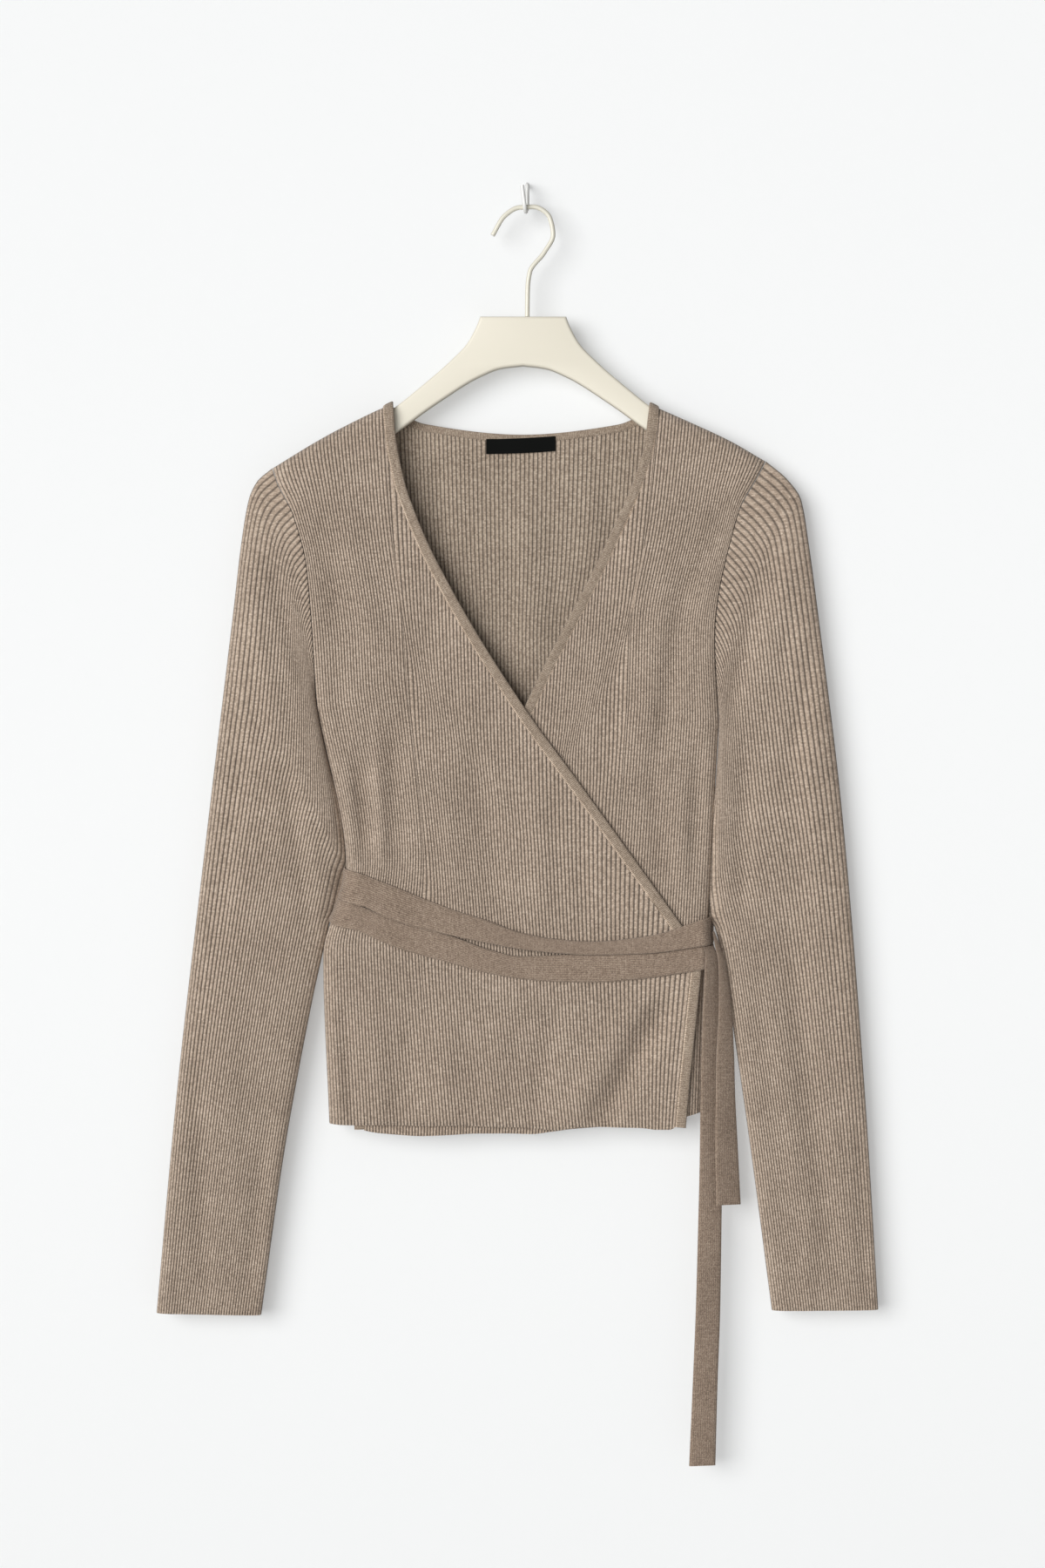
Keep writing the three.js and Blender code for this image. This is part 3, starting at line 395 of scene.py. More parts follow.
class TableLine:
    """A smooth line through a table's rows that stays sharp at the rows named as corners."""

    def __init__(self, places: Sequence[float], values: Sequence[float], corners: Sequence[int] = ()) -> None:
        """Prepares the line.

        Args:
            places: where each row stands.
            values: what each row says there.
            corners: the rows at which the line turns sharply.
        """
        order = np.argsort(places)
        self.at = np.array(places, float)[order]
        self.value = np.array(values, float)[order]
        slope = np.diff(self.value) / np.diff(self.at)
        product = slope[1:] * slope[:-1]
        total = slope[1:] + slope[:-1]
        inner = np.divide(2 * product, total, out=np.zeros_like(total), where=product > 1e-12)
        self.leaving = np.concatenate([slope[:1], inner, slope[-1:]])
        self.arriving = self.leaving.copy()
        for k in np.flatnonzero(np.isin(order, corners)):
            if 0 < k < len(self.at) - 1:
                self.arriving[k] = slope[k - 1]
                self.leaving[k] = slope[k]

    def __call__(self, where: Values) -> np.ndarray:
        """Reads the line.

        Args:
            where: a place or an array of places.

        Returns:
            The values there.
        """
        where = np.asarray(where, float)
        k = np.clip(np.searchsorted(self.at, where, side="right") - 1, 0, len(self.at) - 2)
        span = self.at[k + 1] - self.at[k]
        t = np.clip((where - self.at[k]) / span, 0, 1)
        a, b = self.value[k], self.value[k + 1]
        leave, arrive = self.leaving[k] * span, self.arriving[k + 1] * span
        return a + t * (leave + t * ((3 * (b - a) - 2 * leave - arrive) + t * (2 * (a - b) + leave + arrive)))


Outline = Callable[[np.ndarray], tuple[np.ndarray, np.ndarray]]


def edge_by_height(rows: Sequence[Spot], corners: Sequence[int] = ()) -> Outline:
    """Makes a side outline that is read by its share of the height.

    Args:
        rows: the outline's points, from the lowest up.
        corners: the rows at which it turns sharply.

    Returns:
        A function from shares to x and z.
    """
    line = TableLine([row.z for row in rows], [row.x for row in rows], corners)
    return lambda v: (line(lerp(rows[0].z, rows[-1].z, v)), lerp(rows[0].z, rows[-1].z, v) + 0 * v)


def hem_line(rows: Sequence[Spot]) -> Outline:
    """Makes a hem that is read by its share of the width.

    Args:
        rows: the hem's points from left to right.

    Returns:
        A function from shares to x and z.
    """
    line = TableLine([row.x for row in rows], [row.z for row in rows])
    return lambda u: (lerp(rows[0].x, rows[-1].x, u), line(lerp(rows[0].x, rows[-1].x, u)))


def top_line(rows: Sequence[TopRow], corners: Sequence[int]) -> Outline:
    """Makes an upper edge that is read by a rib's share of the hem.

    Args:
        rows: the upper ends of the ribs.
        corners: the rows at which the edge turns sharply.

    Returns:
        A function from shares to x and z.
    """
    across = TableLine([row.hem for row in rows], [row.x for row in rows], corners)
    up = TableLine([row.hem for row in rows], [row.z for row in rows], corners)
    return lambda u: (across(lerp(rows[0].hem, rows[-1].hem, u)), up(lerp(rows[0].hem, rows[-1].hem, u)))


def shoulder_share(rows: Sequence[TopRow], neck_row: int, step: int) -> Callable[[np.ndarray], np.ndarray]:
    """Tells where a panel's top is a shoulder seam.

    Args:
        rows: the panel's upper edge.
        neck_row: the row of the neck point.
        step: the way from it to the next row of the neck.

    Returns:
        A function that is 1 under the shoulder seam and 0 from the next row of the neck on.
    """
    neck, below = rows[neck_row].hem, rows[neck_row + step].hem
    return lambda u: np.clip((lerp(rows[0].hem, rows[-1].hem, u) - below) / (neck - below), 0, 1)


def relief(folds: Sequence[Fold], x: np.ndarray, z: np.ndarray) -> np.ndarray:
    """Adds up how far the soft troughs press a wall in.

    Args:
        folds: the piece's troughs and ridges.
        x: places across.
        z: heights.

    Returns:
        The depth pressed in, below 0 on a ridge.
    """
    total = np.zeros_like(x)
    for fold in folds:
        along_x, along_z = fold.x1 - fold.x0, fold.z1 - fold.z0
        length2 = along_x**2 + along_z**2
        t = ((x - fold.x0) * along_x + (z - fold.z0) * along_z) / length2
        away = np.abs((x - fold.x0) * along_z - (z - fold.z0) * along_x) / math.sqrt(length2)
        fade = smooth(t / FOLD_FADE + 0.5) * smooth((1 - t) / FOLD_FADE + 0.5)
        total += fold.depth * fade * smooth(1 - away / fold.width)
    return total


@dataclass(frozen=True)
class Plan:
    """Where a piece's ribs run in the garment's plane: straight, and bent towards its two sides.

    The powers say how near to a side the ribs start to follow it, below the crown and in it. The bow shifts the
    ribs in the middle across.
    """

    left: Outline
    right: Outline
    bottom: Outline
    top: Outline
    power: float = 3
    crown_power: float = 9
    crown_from: float = 0.7
    bow: float = 0

    def place(self, u: np.ndarray, v: np.ndarray) -> tuple[np.ndarray, np.ndarray]:
        """Finds points by their shares of the width and height.

        Args:
            u: shares of the width.
            v: shares of the height.

        Returns:
            x and z of the points.
        """
        u, v = np.broadcast_arrays(np.asarray(u, float), np.asarray(v, float))
        low, high = self.bottom(u), self.top(u)
        power = self.power + self.crown_power * smooth((v - self.crown_from) / (1 - self.crown_from))
        bulge = self.bow * 4 * u * (1 - u) * 4 * v * (1 - v)
        found = [lerp(low[0], high[0], v) + bulge, lerp(low[1], high[1], v)]
        for outline, weight in ((self.left, (1 - u) ** power), (self.right, u**power)):
            here, first, last = outline(v), outline(0 * v), outline(0 * v + 1)
            for axis in (0, 1):
                found[axis] = found[axis] + weight * (here[axis] - lerp(first[axis], last[axis], v))
        return found[0], found[1]


class ClothMesh:
    """Collects the points, faces and pattern coordinates of one piece of cloth."""

    def __init__(self) -> None:
        """Starts with nothing."""
        self.points: list[np.ndarray] = []
        self.pattern: list[np.ndarray] = []
        self.faces: list[tuple[int, ...]] = []
        self.count = 0

    def add_grid(self, points: np.ndarray, pattern: np.ndarray, flip: bool) -> np.ndarray:
        """Adds a sheet of points with faces between its rows and columns.

        Args:
            points: array of rows, columns and x, y, z.
            pattern: array of rows, columns and the two pattern coordinates in millimetres.
            flip: whether the faces look the other way.

        Returns:
            The points' numbers by row and column.
        """
        rows, columns = points.shape[:2]
        ids = np.arange(rows * columns).reshape(rows, columns) + self.count
        self.points.append(points.reshape(-1, 3))
        self.pattern.append(pattern.reshape(-1, 2))
        self.count += rows * columns
        corners = [ids[:-1, :-1], ids[:-1, 1:], ids[1:, 1:], ids[1:, :-1]]
        if flip:
            corners.reverse()
        self.faces.extend(map(tuple, np.stack([c.ravel() for c in corners], axis=1).tolist()))
        return ids

    def join(self, fine: Sequence[int], coarse: Sequence[int], flip: bool) -> None:
        """Adds a rim between two lines of points that start and end together.

        Args:
            fine: the line with more points.
            coarse: the other line; the fine one has a whole number of steps for each of its own.
            flip: whether the faces look the other way.
        """
        step = (len(fine) - 1) // (len(coarse) - 1)
        for i in range(len(coarse) - 1):
            start, middle = i * step, i * step + step // 2
            for k in range(start, start + step):
                corner = coarse[i] if k < middle else coarse[i + 1]
                face = (fine[k], fine[k + 1], corner)
                self.faces.append(face[::-1] if flip else face)
            face = (fine[middle], coarse[i + 1], coarse[i])
            self.faces.append(face[::-1] if flip else face)

    def cap(self, ids: np.ndarray) -> None:
        """Closes both ends of a swept section.

        Args:
            ids: the numbers of its points by station, with the first point of each section once more at its end.
        """
        self.faces.append(tuple(ids[0, :-1].tolist()))
        self.faces.append(tuple(ids[-1, :-1].tolist()[::-1]))

    def build(self, name: str) -> bpy.types.Object:
        """Makes the object.

        Args:
            name: its name.

        Returns:
            The new object, smooth where its wall is smooth.
        """
        mesh = bpy.data.meshes.new(name)
        mesh.from_pydata((np.concatenate(self.points) * MM).tolist(), [], self.faces)
        layer = mesh.uv_layers.new(name="knit")
        corners = np.zeros(len(mesh.loops), np.int32)
        mesh.loops.foreach_get("vertex_index", corners)
        layer.data.foreach_set("uv", np.concatenate(self.pattern)[corners].astype(np.float32).ravel())
        piece = bpy.data.objects.new(name, mesh)
        bpy.context.collection.objects.link(piece)
        finish_mesh(piece, merge=True)
        return piece


def select_only(piece: bpy.types.Object) -> None:
    """Selects one object and makes it active.

    Args:
        piece: the object.
    """
    bpy.ops.object.select_all(action="DESELECT")
    piece.select_set(True)
    bpy.context.view_layer.objects.active = piece


def finish_mesh(piece: bpy.types.Object, merge: bool = False, angle: float = 75) -> None:
    """Turns a mesh's faces outwards and shades it smooth.

    Args:
        piece: the object.
        merge: whether points at the same place become one.
        angle: the sharpest angle in degrees that is shaded smooth.
    """
    select_only(piece)
    bpy.ops.object.mode_set(mode="EDIT")
    bpy.ops.mesh.select_all(action="SELECT")
    if merge:
        bpy.ops.mesh.remove_doubles(threshold=0.01 * MM)
    bpy.ops.mesh.normals_make_consistent(inside=False)
    bpy.ops.object.mode_set(mode="OBJECT")
    bpy.ops.object.shade_smooth_by_angle(angle=math.radians(angle))


def as_mesh(name: str, curve: bpy.types.Curve) -> bpy.types.Object:
    """Turns a curve into a piece with a mesh.

    Args:
        name: the piece's name.
        curve: the curve.

    Returns:
        The piece.
    """
    piece = bpy.data.objects.new(name, curve)
    bpy.context.collection.objects.link(piece)
    select_only(piece)
    bpy.ops.object.convert(target="MESH")
    return bpy.context.view_layer.objects.active


def dress(piece: bpy.types.Object, node: str, material: bpy.types.Material) -> bpy.types.Object:
    """Gives a piece its finish and its place in the frame.

    Args:
        piece: the object.
        node: the solid that it replaces.
        material: its finish.

    Returns:
        The same object.
    """
    piece.data.materials.clear()
    piece.data.materials.append(material)
    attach(piece, "root")
    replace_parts(piece, node)
    log.info("%s: %d faces", node, len(piece.data.polygons))
    return piece


@dataclass(frozen=True)
class KnitFinish:
    """Colours and sizes of one knit of heathered yarn.

    The ribs' and courses' sizes are in millimetres. Groove and stitch say how much painted shade darkens the cloth
    between two ribs and between two courses, and seam is the place of a lighter chain of stitches, or 0 where there is
    none.
    """

    name: str
    dark: int
    middle: int
    light: int
    rib_mm: float
    course_mm: float
    groove: float
    stitch: float
    seam: float = 0.0
    roughness: float = 0.92
    specular: float = 0.2
    sheen: float = 0.18
    sheen_roughness: float = 0.6
    course_slant: float = 0.3
    stitch_tone: float = 0.45
    bump: float = 0.6
    bump_mm: float = 0.25


@dataclass(frozen=True)
class PlainFinish:
    """Colour and gloss of a plain surface, with a grain in millimetres."""

    name: str
    colour: int
    roughness: float
    grain: float
    grain_mm: float
    coat: float = 0.0
    coat_roughness: float = 0.25
    specular: float = 0.5
    bump_mm: float = 0.05


# Fine ribbed knit of a matte wool-like yarn: light ribs, grooves darkened by painted shade, and single fibres lighter
# or darker.
# A real course is about 1 mm high and is drawn a little coarser, so that it shows.
RIB_KNIT = KnitFinish("rib_knit", 0x8C7B6C, 0xB9A592, 0xE0CDBA, 2.5, 1.25, 0.64, 0.09)
# The same knit for the whole back panel, with its colours painted darker as shade for the inside of the garment and
# darker painted shade in its grooves
SHADED_BACK_KNIT = KnitFinish("rib_knit_back_shaded", 0x857565, 0xAF9D8B, 0xD6C5B1, 2.5, 1.25, 0.74, 0.09)
# Tighter knit across the edges: flatter and a shade darker, with the linking chain along its seam
BAND_KNIT = KnitFinish("band_knit", 0x7A6A5A, 0xA99683, 0xD0BFAC, 1.25, 0.95, 0.42, 0.2, seam=1.6)
# Double-layer strap knit, smooth; its colours are the darkest of the knits as painted shade for strap faces turned
# from the light
SHADED_TIE_KNIT = KnitFinish("tie_knit", 0x726152, 0x9F8A78, 0xC4B09D, 1.3, 1.0, 0.4, 0.22)
# Woven polyester label: black, with hardly any gloss
LABEL_CLOTH = PlainFinish("label_cloth", 0x0C0D0C, 0.9, 0.4, 0.35, specular=0.12)
# Injection-moulded polystyrene with a satin skin, so its rounded edges catch a soft light
HANGER_PLASTIC = PlainFinish("hanger_plastic", 0xEAE4D3, 0.42, 0.12, 0.7)
# Steel wire, powder-coated in the hanger's colour: an even colour under a thin clear gloss
HOOK_METAL = PlainFinish("hook_wire", 0xE6E2D2, 0.3, 0.05, 1.2, 0.4)
# Steel wire, enamelled white
WALL_METAL = PlainFinish("wall_hook_wire", 0xEFEFEC, 0.32, 0.05, 1.2, 0.4)


class YarnTone(NamedTuple):
    """One unevenness of the yarn's colour: its steps to a millimetre, detail, layer and share of the tone."""

    across: float
    along: float
    detail: float
    layer: float
    share: float


STREAK = YarnTone(0.12, 0.8, 3.0, 0.0, 0.6)
FIBRE = YarnTone(2.6, 1.9, 2.0, 7.0, 1.5)
CLOUD = YarnTone(0.02, 0.03, 1.0, 13.0, 0.3)

MATH = "ShaderNodeMath"


class ShaderTree:
    """A material's node tree, built node by node."""

    def __init__(self, name: str) -> None:
        """Starts an empty tree.

        Args:
            name: the material's name.
        """
        self.material = bpy.data.materials.new(name)
        self.material.use_nodes = True
        self.tree = self.material.node_tree
        self.tree.nodes.clear()

    def add(self, kind: str, inputs: dict[int | str, Any] | None = None, **settings: Any) -> bpy.types.Node:
        """Adds a node.

        Args:
            kind: the node's type.
            inputs: sockets by name or number, each with a value, or with a socket or a node to link from.
            settings: the node's own properties.

        Returns:
            The new node.
        """
        node = self.tree.nodes.new(kind)
        for key, value in settings.items():
            setattr(node, key, value)
        for key, value in (inputs or {}).items():
            if isinstance(value, bpy.types.Node):
                value = value.outputs[0]
            if isinstance(value, bpy.types.NodeSocket):
                self.tree.links.new(value, node.inputs[key])
            else:
                node.inputs[key].default_value = value
        return node


def knit_material(finish: KnitFinish) -> bpy.types.Material:
    """Makes a heathered knit on a piece's own pattern coordinates.

    Args:
        finish: its colours and sizes.

    Returns:
        The material.
    """
    tree = ShaderTree(finish.name)
    add = tree.add
    pattern = add("ShaderNodeUVMap", uv_map="knit")
    across, along = add("ShaderNodeSeparateXYZ", {0: pattern}).outputs[:2]

    # How far a place is from its rib's middle and from its course's, from 0 to 1
    rib = add(MATH, {0: across, 1: finish.rib_mm}, operation="DIVIDE")
    phase = add(MATH, {0: add(MATH, {0: rib}, operation="FRACT"), 1: 2.0, 2: -1.0}, operation="MULTIPLY_ADD")
    away = add(MATH, {0: phase}, operation="ABSOLUTE")
    groove = add(
        "ShaderNodeMapRange", {"Value": away, "From Min": 0.44, "From Max": 0.96}, interpolation_type="SMOOTHSTEP"
    )
    level = add(MATH, {0: along, 1: finish.course_mm}, operation="DIVIDE")
    course = add(MATH, {0: away, 1: finish.course_slant, 2: level}, operation="MULTIPLY_ADD")
    phase = add(MATH, {0: add(MATH, {0: course}, operation="FRACT"), 1: 2.0, 2: -1.0}, operation="MULTIPLY_ADD")
    bead = add(MATH, {0: phase}, operation="ABSOLUTE")
    gap = add(
        "ShaderNodeMapRange", {"Value": bead, "From Min": 0.5, "From Max": 1.0}, interpolation_type="SMOOTHSTEP"
    )

    # The yarn's tone: its streaks, fibres and clouds, and a shade for each stitch
    parts = []
    for yarn in (STREAK, FIBRE, CLOUD):
        scales = {0: pattern, 1: (yarn.across, yarn.along, 0.0), 2: (0.0, 0.0, yarn.layer)}
        place = add("ShaderNodeVectorMath", scales, operation="MULTIPLY_ADD")
        parts.append(add("ShaderNodeTexNoise", {"Vector": place, "Scale": 1.0, "Detail": yarn.detail}))
    half_rib = add(MATH, {0: add(MATH, {0: rib, 1: 2.0}, operation="MULTIPLY")}, operation="FLOOR")
    cell = add("ShaderNodeCombineXYZ", {0: half_rib, 1: add(MATH, {0: course}, operation="FLOOR")})
    stitch = add("ShaderNodeTexWhiteNoise", {"Vector": cell}, noise_dimensions="2D")
    tone = 0.5
    shares = (STREAK.share, FIBRE.share, CLOUD.share, finish.stitch_tone)
    for part, share in zip((*parts, stitch), shares):
        centred = add(MATH, {0: part, 1: 0.5}, operation="SUBTRACT")
        tone = add(MATH, {0: centred, 1: share, 2: tone}, operation="MULTIPLY_ADD")
    ramp = add("ShaderNodeValToRGB", {"Fac": tone})
    stops = ramp.color_ramp.elements
    stops[0].position, stops[0].color = 0.0, linear_colour(finish.dark)
    stops[1].position, stops[1].color = 1.0, linear_colour(finish.light)
    stops.new(0.5).color = linear_colour(finish.middle)

    # Painted shade between ribs and between courses, and a lighter chain along a seam, lighter on the rib tops than in
    # the grooves
    shade = add(MATH, {0: groove, 1: -finish.groove, 2: 1.0}, operation="MULTIPLY_ADD")
    between = add(MATH, {0: gap, 1: -finish.stitch, 2: 1.0}, operation="MULTIPLY_ADD")
    shade = add(MATH, {0: shade, 1: between}, operation="MULTIPLY")
    if finish.seam:
        beside = add(MATH, {0: along, 1: finish.seam}, operation="SUBTRACT")
        inputs = {
            "Value": add(MATH, {0: beside}, operation="ABSOLUTE"),
            "From Min": 0.25, "From Max": 0.6, "To Min": 1.0, "To Max": 0.0,
        }
        chain = add("ShaderNodeMapRange", inputs, interpolation_type="SMOOTHSTEP")
        link = add(MATH, {0: groove, 1: -0.5, 2: 0.8}, operation="MULTIPLY_ADD")
        gain = add(MATH, {0: chain, 1: link, 2: 1.0}, operation="MULTIPLY_ADD")
        shade = add(MATH, {0: shade, 1: gain}, operation="MULTIPLY")
    colour = add("ShaderNodeVectorMath", {0: ramp, "Scale": shade}, operation="SCALE")

    height = add(MATH, {0: parts[1], 1: 0.5}, operation="MULTIPLY")
    height = add(MATH, {0: gap, 1: -0.8, 2: height}, operation="MULTIPLY_ADD")
    height = add(MATH, {0: height, 1: groove}, operation="SUBTRACT")
    bump = {"Height": height, "Strength": finish.bump, "Distance": finish.bump_mm * MM}
    inputs = {
        "Base Color": colour,
        "Roughness": finish.roughness,
        "Specular IOR Level": finish.specular,
        "Sheen Weight": finish.sheen,
        "Sheen Roughness": finish.sheen_roughness,
        "Normal": add("ShaderNodeBump", bump),
    }
    add("ShaderNodeOutputMaterial", {"Surface": add("ShaderNodeBsdfPrincipled", inputs)})
    return tree.material


def plain_material(finish: PlainFinish) -> bpy.types.Material:
    """Makes a plain surface with a faint grain on object coordinates.

    Args:
        finish: its colour and gloss.

    Returns:
        The material.
    """
    tree = ShaderTree(finish.name)
    add = tree.add
    place = add("ShaderNodeTexCoord").outputs["Object"]
    grain = add("ShaderNodeTexNoise", {"Vector": place, "Scale": 1 / (finish.grain_mm * MM), "Detail": 2.0})
    bump = {"Height": grain, "Strength": finish.grain, "Distance": finish.bump_mm * MM}
    cloud = add("ShaderNodeTexNoise", {"Vector": place, "Scale": 18.0, "Detail": 2.0})
    tone = add(MATH, {0: cloud, 1: 0.04, 2: 0.98}, operation="MULTIPLY_ADD")
    colour = {0: linear_colour(finish.colour)[:3], "Scale": tone}
    inputs = {
        "Base Color": add("ShaderNodeVectorMath", colour, operation="SCALE"),
        "Roughness": finish.roughness,
        "Specular IOR Level": finish.specular,
        "Coat Weight": finish.coat,
        "Coat Roughness": finish.coat_roughness,
        "Normal": add("ShaderNodeBump", bump),
    }
    add("ShaderNodeOutputMaterial", {"Surface": add("ShaderNodeBsdfPrincipled", inputs)})
    return tree.material


class Finishes:
    """All materials, each made once."""

    def __init__(self) -> None:
        """Makes them."""
        self.rib = knit_material(RIB_KNIT)
        # The back panel's knit, darker by painted shade
        self.back = knit_material(SHADED_BACK_KNIT)
        self.band = knit_material(BAND_KNIT)
        # The tie's knit, darker by painted shade
        self.tie = knit_material(SHADED_TIE_KNIT)
        self.label = plain_material(LABEL_CLOTH)
        self.hanger = plain_material(HANGER_PLASTIC)
        self.hook = plain_material(HOOK_METAL)
        self.wall_hook = plain_material(WALL_METAL)


# Places across one rib from groove to groove, and how far each lies below the rib's top
RIB_PLACES = np.array([0.0, 0.14, 0.5, 0.86])
RIB_SUNK = np.array([1.0, 0.22, 0.0, 0.22]) * RIB_RISE


def rib_columns(count: int) -> tuple[np.ndarray, np.ndarray]:
    """Places the columns of a ribbed face.

    Args:
        count: the number of ribs.

    Returns:
        The columns' places in ribs, and how far each is sunk.
    """
    places = (np.arange(count)[:, None] + RIB_PLACES[None, :]).ravel()
    return np.append(places, count), np.append(np.tile(RIB_SUNK, count), RIB_SUNK[0])


@dataclass(frozen=True)
class BodyPanel:
    """One ribbed panel of the body: a front or the back."""

    node: str
    side: Side
    depth: float
    width: float
    ribs: int
    rows: int
    plan: Plan
    left_seam: bool
    right_seam: bool
    shoulder: Callable[[np.ndarray], np.ndarray]
    ribbed_inside: bool = False
    seam_share: float = 0.1

    def surface(self, places: np.ndarray, sunk: np.ndarray, inside: bool) -> tuple[np.ndarray, np.ndarray]:
        """Places one face of the panel.

        Args:
            places: the columns' places in ribs.
            sunk: how far each column is sunk.
            inside: whether this is the face towards the middle of the garment.

        Returns:
            The points and their pattern coordinates.
        """
        inset = KNIT / self.width if inside else 0.0
        u = places / self.ribs
        u = u + self.left_seam * inset * np.clip(1 - u / self.seam_share, 0, 1)
        u = u - self.right_seam * inset * np.clip(1 - (1 - u) / self.seam_share, 0, 1)
        height = self.plan.top(u)[1] - self.plan.bottom(u)[1]
        crown = 1 - (KNIT * self.shoulder(u) / height if inside else 0 * u)
        body = np.linspace(0, 1, self.rows)[:, None] * (crown - SHOULDER_ROUND / height)
        near = crown - np.array(SHOULDER_STEPS)[:, None] / height
        v = np.concatenate([body, near])
        x, z = self.plan.place(u, v)
        z = z - SCALLOP * (1 - sunk / RIB_RISE) * smooth(1 - v / SCALLOP_SHARE)
        full = np.ones_like(x)
        for has_seam, at, rows, underarm in (
            (self.left_seam, inset, RIGHT_EDGE, RIGHT_UNDERARM),
            (self.right_seam, 1 - inset, LEFT_EDGE, LEFT_UNDERARM),
        ):
            if has_seam:
                edge_x, edge_z = self.plan.place(0 * v + at, v)
                w = np.clip((edge_z - underarm) / (rows[-1].z - underarm), 0, 1)
                opening = ARMHOLE_FULLNESS * np.sqrt(4 * w * (1 - w))
                full *= lerp(opening, 1, rounded(np.abs(x - edge_x), SIDE_ROUND))
        full *= lerp(1, rounded((crown - v) * height, SHOULDER_ROUND), self.shoulder(u))
        thickness = sunk if inside else KNIT - sunk
        depth = HALF_GAP + (self.depth + thickness - HALF_GAP) * full
        depth = depth - relief(FOLDS[self.node], x, z) * smooth(full)
        y = MID_Y + self.side.value * np.maximum(depth, HALF_GAP)
        pattern = np.stack([places * RIB_KNIT.rib_mm + 0 * z, z], axis=-1)
        return np.stack([x, y, z], axis=-1), pattern

    def build(self, material: bpy.types.Material) -> bpy.types.Object:
        """Makes the panel.

        Args:
            material: its knit.

        Returns:
            The panel's object.
        """
        cloth = ClothMesh()
        places, sunk = rib_columns(self.ribs)
        outer = cloth.add_grid(*self.surface(places, sunk, False), flip=False)
        if self.ribbed_inside:
            inner_places, inner_sunk = places, np.roll(sunk[:-1], 2)
            inner_sunk = np.append(inner_sunk, inner_sunk[0])
        else:
            inner_places, inner_sunk = np.arange(self.ribs + 1.0), np.zeros(self.ribs + 1)
        inner = cloth.add_grid(*self.surface(inner_places, inner_sunk, True), flip=True)
        cloth.join(outer[0], inner[0], flip=False)
        cloth.join(outer[-1], inner[-1], flip=True)
        cloth.join(outer[:, 0], inner[:, 0], flip=True)
        cloth.join(outer[:, -1], inner[:, -1], flip=False)
        return dress(cloth.build(f"{self.node}_cloth"), self.node, material)


class Tuck(NamedTuple):
    """Where a sleeve's inner fold is turned back behind the body: its lower and upper height, and how far in."""

    low: float
    high: float
    inward: float
    fade_low: float = 12
    fade_high: float = 40
    back: float = 4.8


@dataclass(frozen=True)
class Sleeve:
    """A ribbed sleeve, flattened, from the armhole seam to the open cuff.

    Heights are shares from the cuff up, and widths are shares from the outer fold in.
    """

    node: str
    outward: int
    front_depth: float
    plan: Plan
    tuck: Tuck
    ribs: int = 40
    rows: int = 120
    crowding: float = 1.15
    soft_fold: float = 27
    soft_from: float = 0.36
    soft_over: float = 0.3
    seam_from: float = 0.86
    tuck_from: float = 0.9
    back_creases: float = 0.6
    course_slant: float = 0.1

    def surface(self, places: np.ndarray, sunk: np.ndarray, inside: bool) -> tuple[np.ndarray, np.ndarray]:
        """Places one face of the tube.

        Args:
            places: the columns' places in ribs, front first and then back again.
            sunk: how far each column is sunk.
            inside: whether this is the tube's inner face.

        Returns:
            The points and their pattern coordinates.
        """
        v = (1 - (1 - np.linspace(0, 1, self.rows)) ** self.crowding)[:, None]
        is_front = places < self.ribs
        share = np.where(is_front, places, 2 * self.ribs - places) / self.ribs
        outer_x, outer_z = self.plan.place(0 * v, v)
        inner_x, inner_z = self.plan.place(0 * v + 1, v)
        across = np.hypot(inner_x - outer_x, inner_z - outer_z)
        inset = KNIT / across if inside else 0 * across
        x, z = self.plan.place(lerp(inset, 1 - inset, share), v)
        z = z - SCALLOP * (1 - sunk / RIB_RISE) * smooth(1 - v / SCALLOP_SHARE)
        width = np.abs(inner_x - outer_x) * (1 - 2 * inset)
        inner_round = lerp(SIDE_ROUND, self.soft_fold, smooth((v - self.soft_from) / self.soft_over))
        tube = rounded(share * width, SIDE_ROUND) * rounded((1 - share) * width, inner_round)
        seam = ARMHOLE_FULLNESS * np.sqrt(4 * share * (1 - share))
        near_seam = smooth((v - self.seam_from) / (1 - self.seam_from))
        full = lerp(tube, seam, near_seam)
        at_seam = np.where(is_front, self.front_depth, BACK_DEPTH)
        depth = lerp(SLEEVE_DEPTH, at_seam, smooth(v)) + (0 if inside else KNIT - sunk)
        creased = np.where(is_front, 1.0, self.back_creases)
        pressed = relief(FOLDS[self.node], x, z) * tube * (1 - near_seam) * creased
        y = MID_Y + np.where(is_front, -1, 1) * (depth * full - pressed)
        tucked = smooth((z - self.tuck.low) / self.tuck.fade_low) * smooth((self.tuck.high - z) / self.tuck.fade_high)
        tucked = tucked * smooth((share - self.tuck_from) / (1 - self.tuck_from))
        x = x + self.outward * (SLEEVE_GAP * lerp(0.9, 1, share) - self.tuck.inward * tucked)
        y = y + self.tuck.back * tucked
        along = z - self.outward * self.course_slant * x
        pattern = np.stack([places * RIB_KNIT.rib_mm + 0 * z, along], axis=-1)
        return np.stack([x, y, z], axis=-1), pattern

    def build(self, material: bpy.types.Material) -> bpy.types.Object:
        """Makes the sleeve.

        Args:
            material: its knit.

        Returns:
            The sleeve's object.
        """
        cloth = ClothMesh()
        places, sunk = rib_columns(2 * self.ribs)
        outer = cloth.add_grid(*self.surface(places, sunk, False), flip=False)
        inner_places = np.arange(2 * self.ribs + 1.0)
        inner = cloth.add_grid(*self.surface(inner_places, 0 * inner_places, True), flip=True)
        cloth.join(outer[0], inner[0], flip=False)
        cloth.join(outer[-1], inner[-1], flip=True)
        return dress(cloth.build(f"{self.node}_cloth"), self.node, material)


class Station(NamedTuple):
    """One place along a band: its point, its normal, its climb over the shoulder and the way down from there."""

    x: float
    z: float
    normal: tuple[float, float]
    arch: float
    along: tuple[float, float]


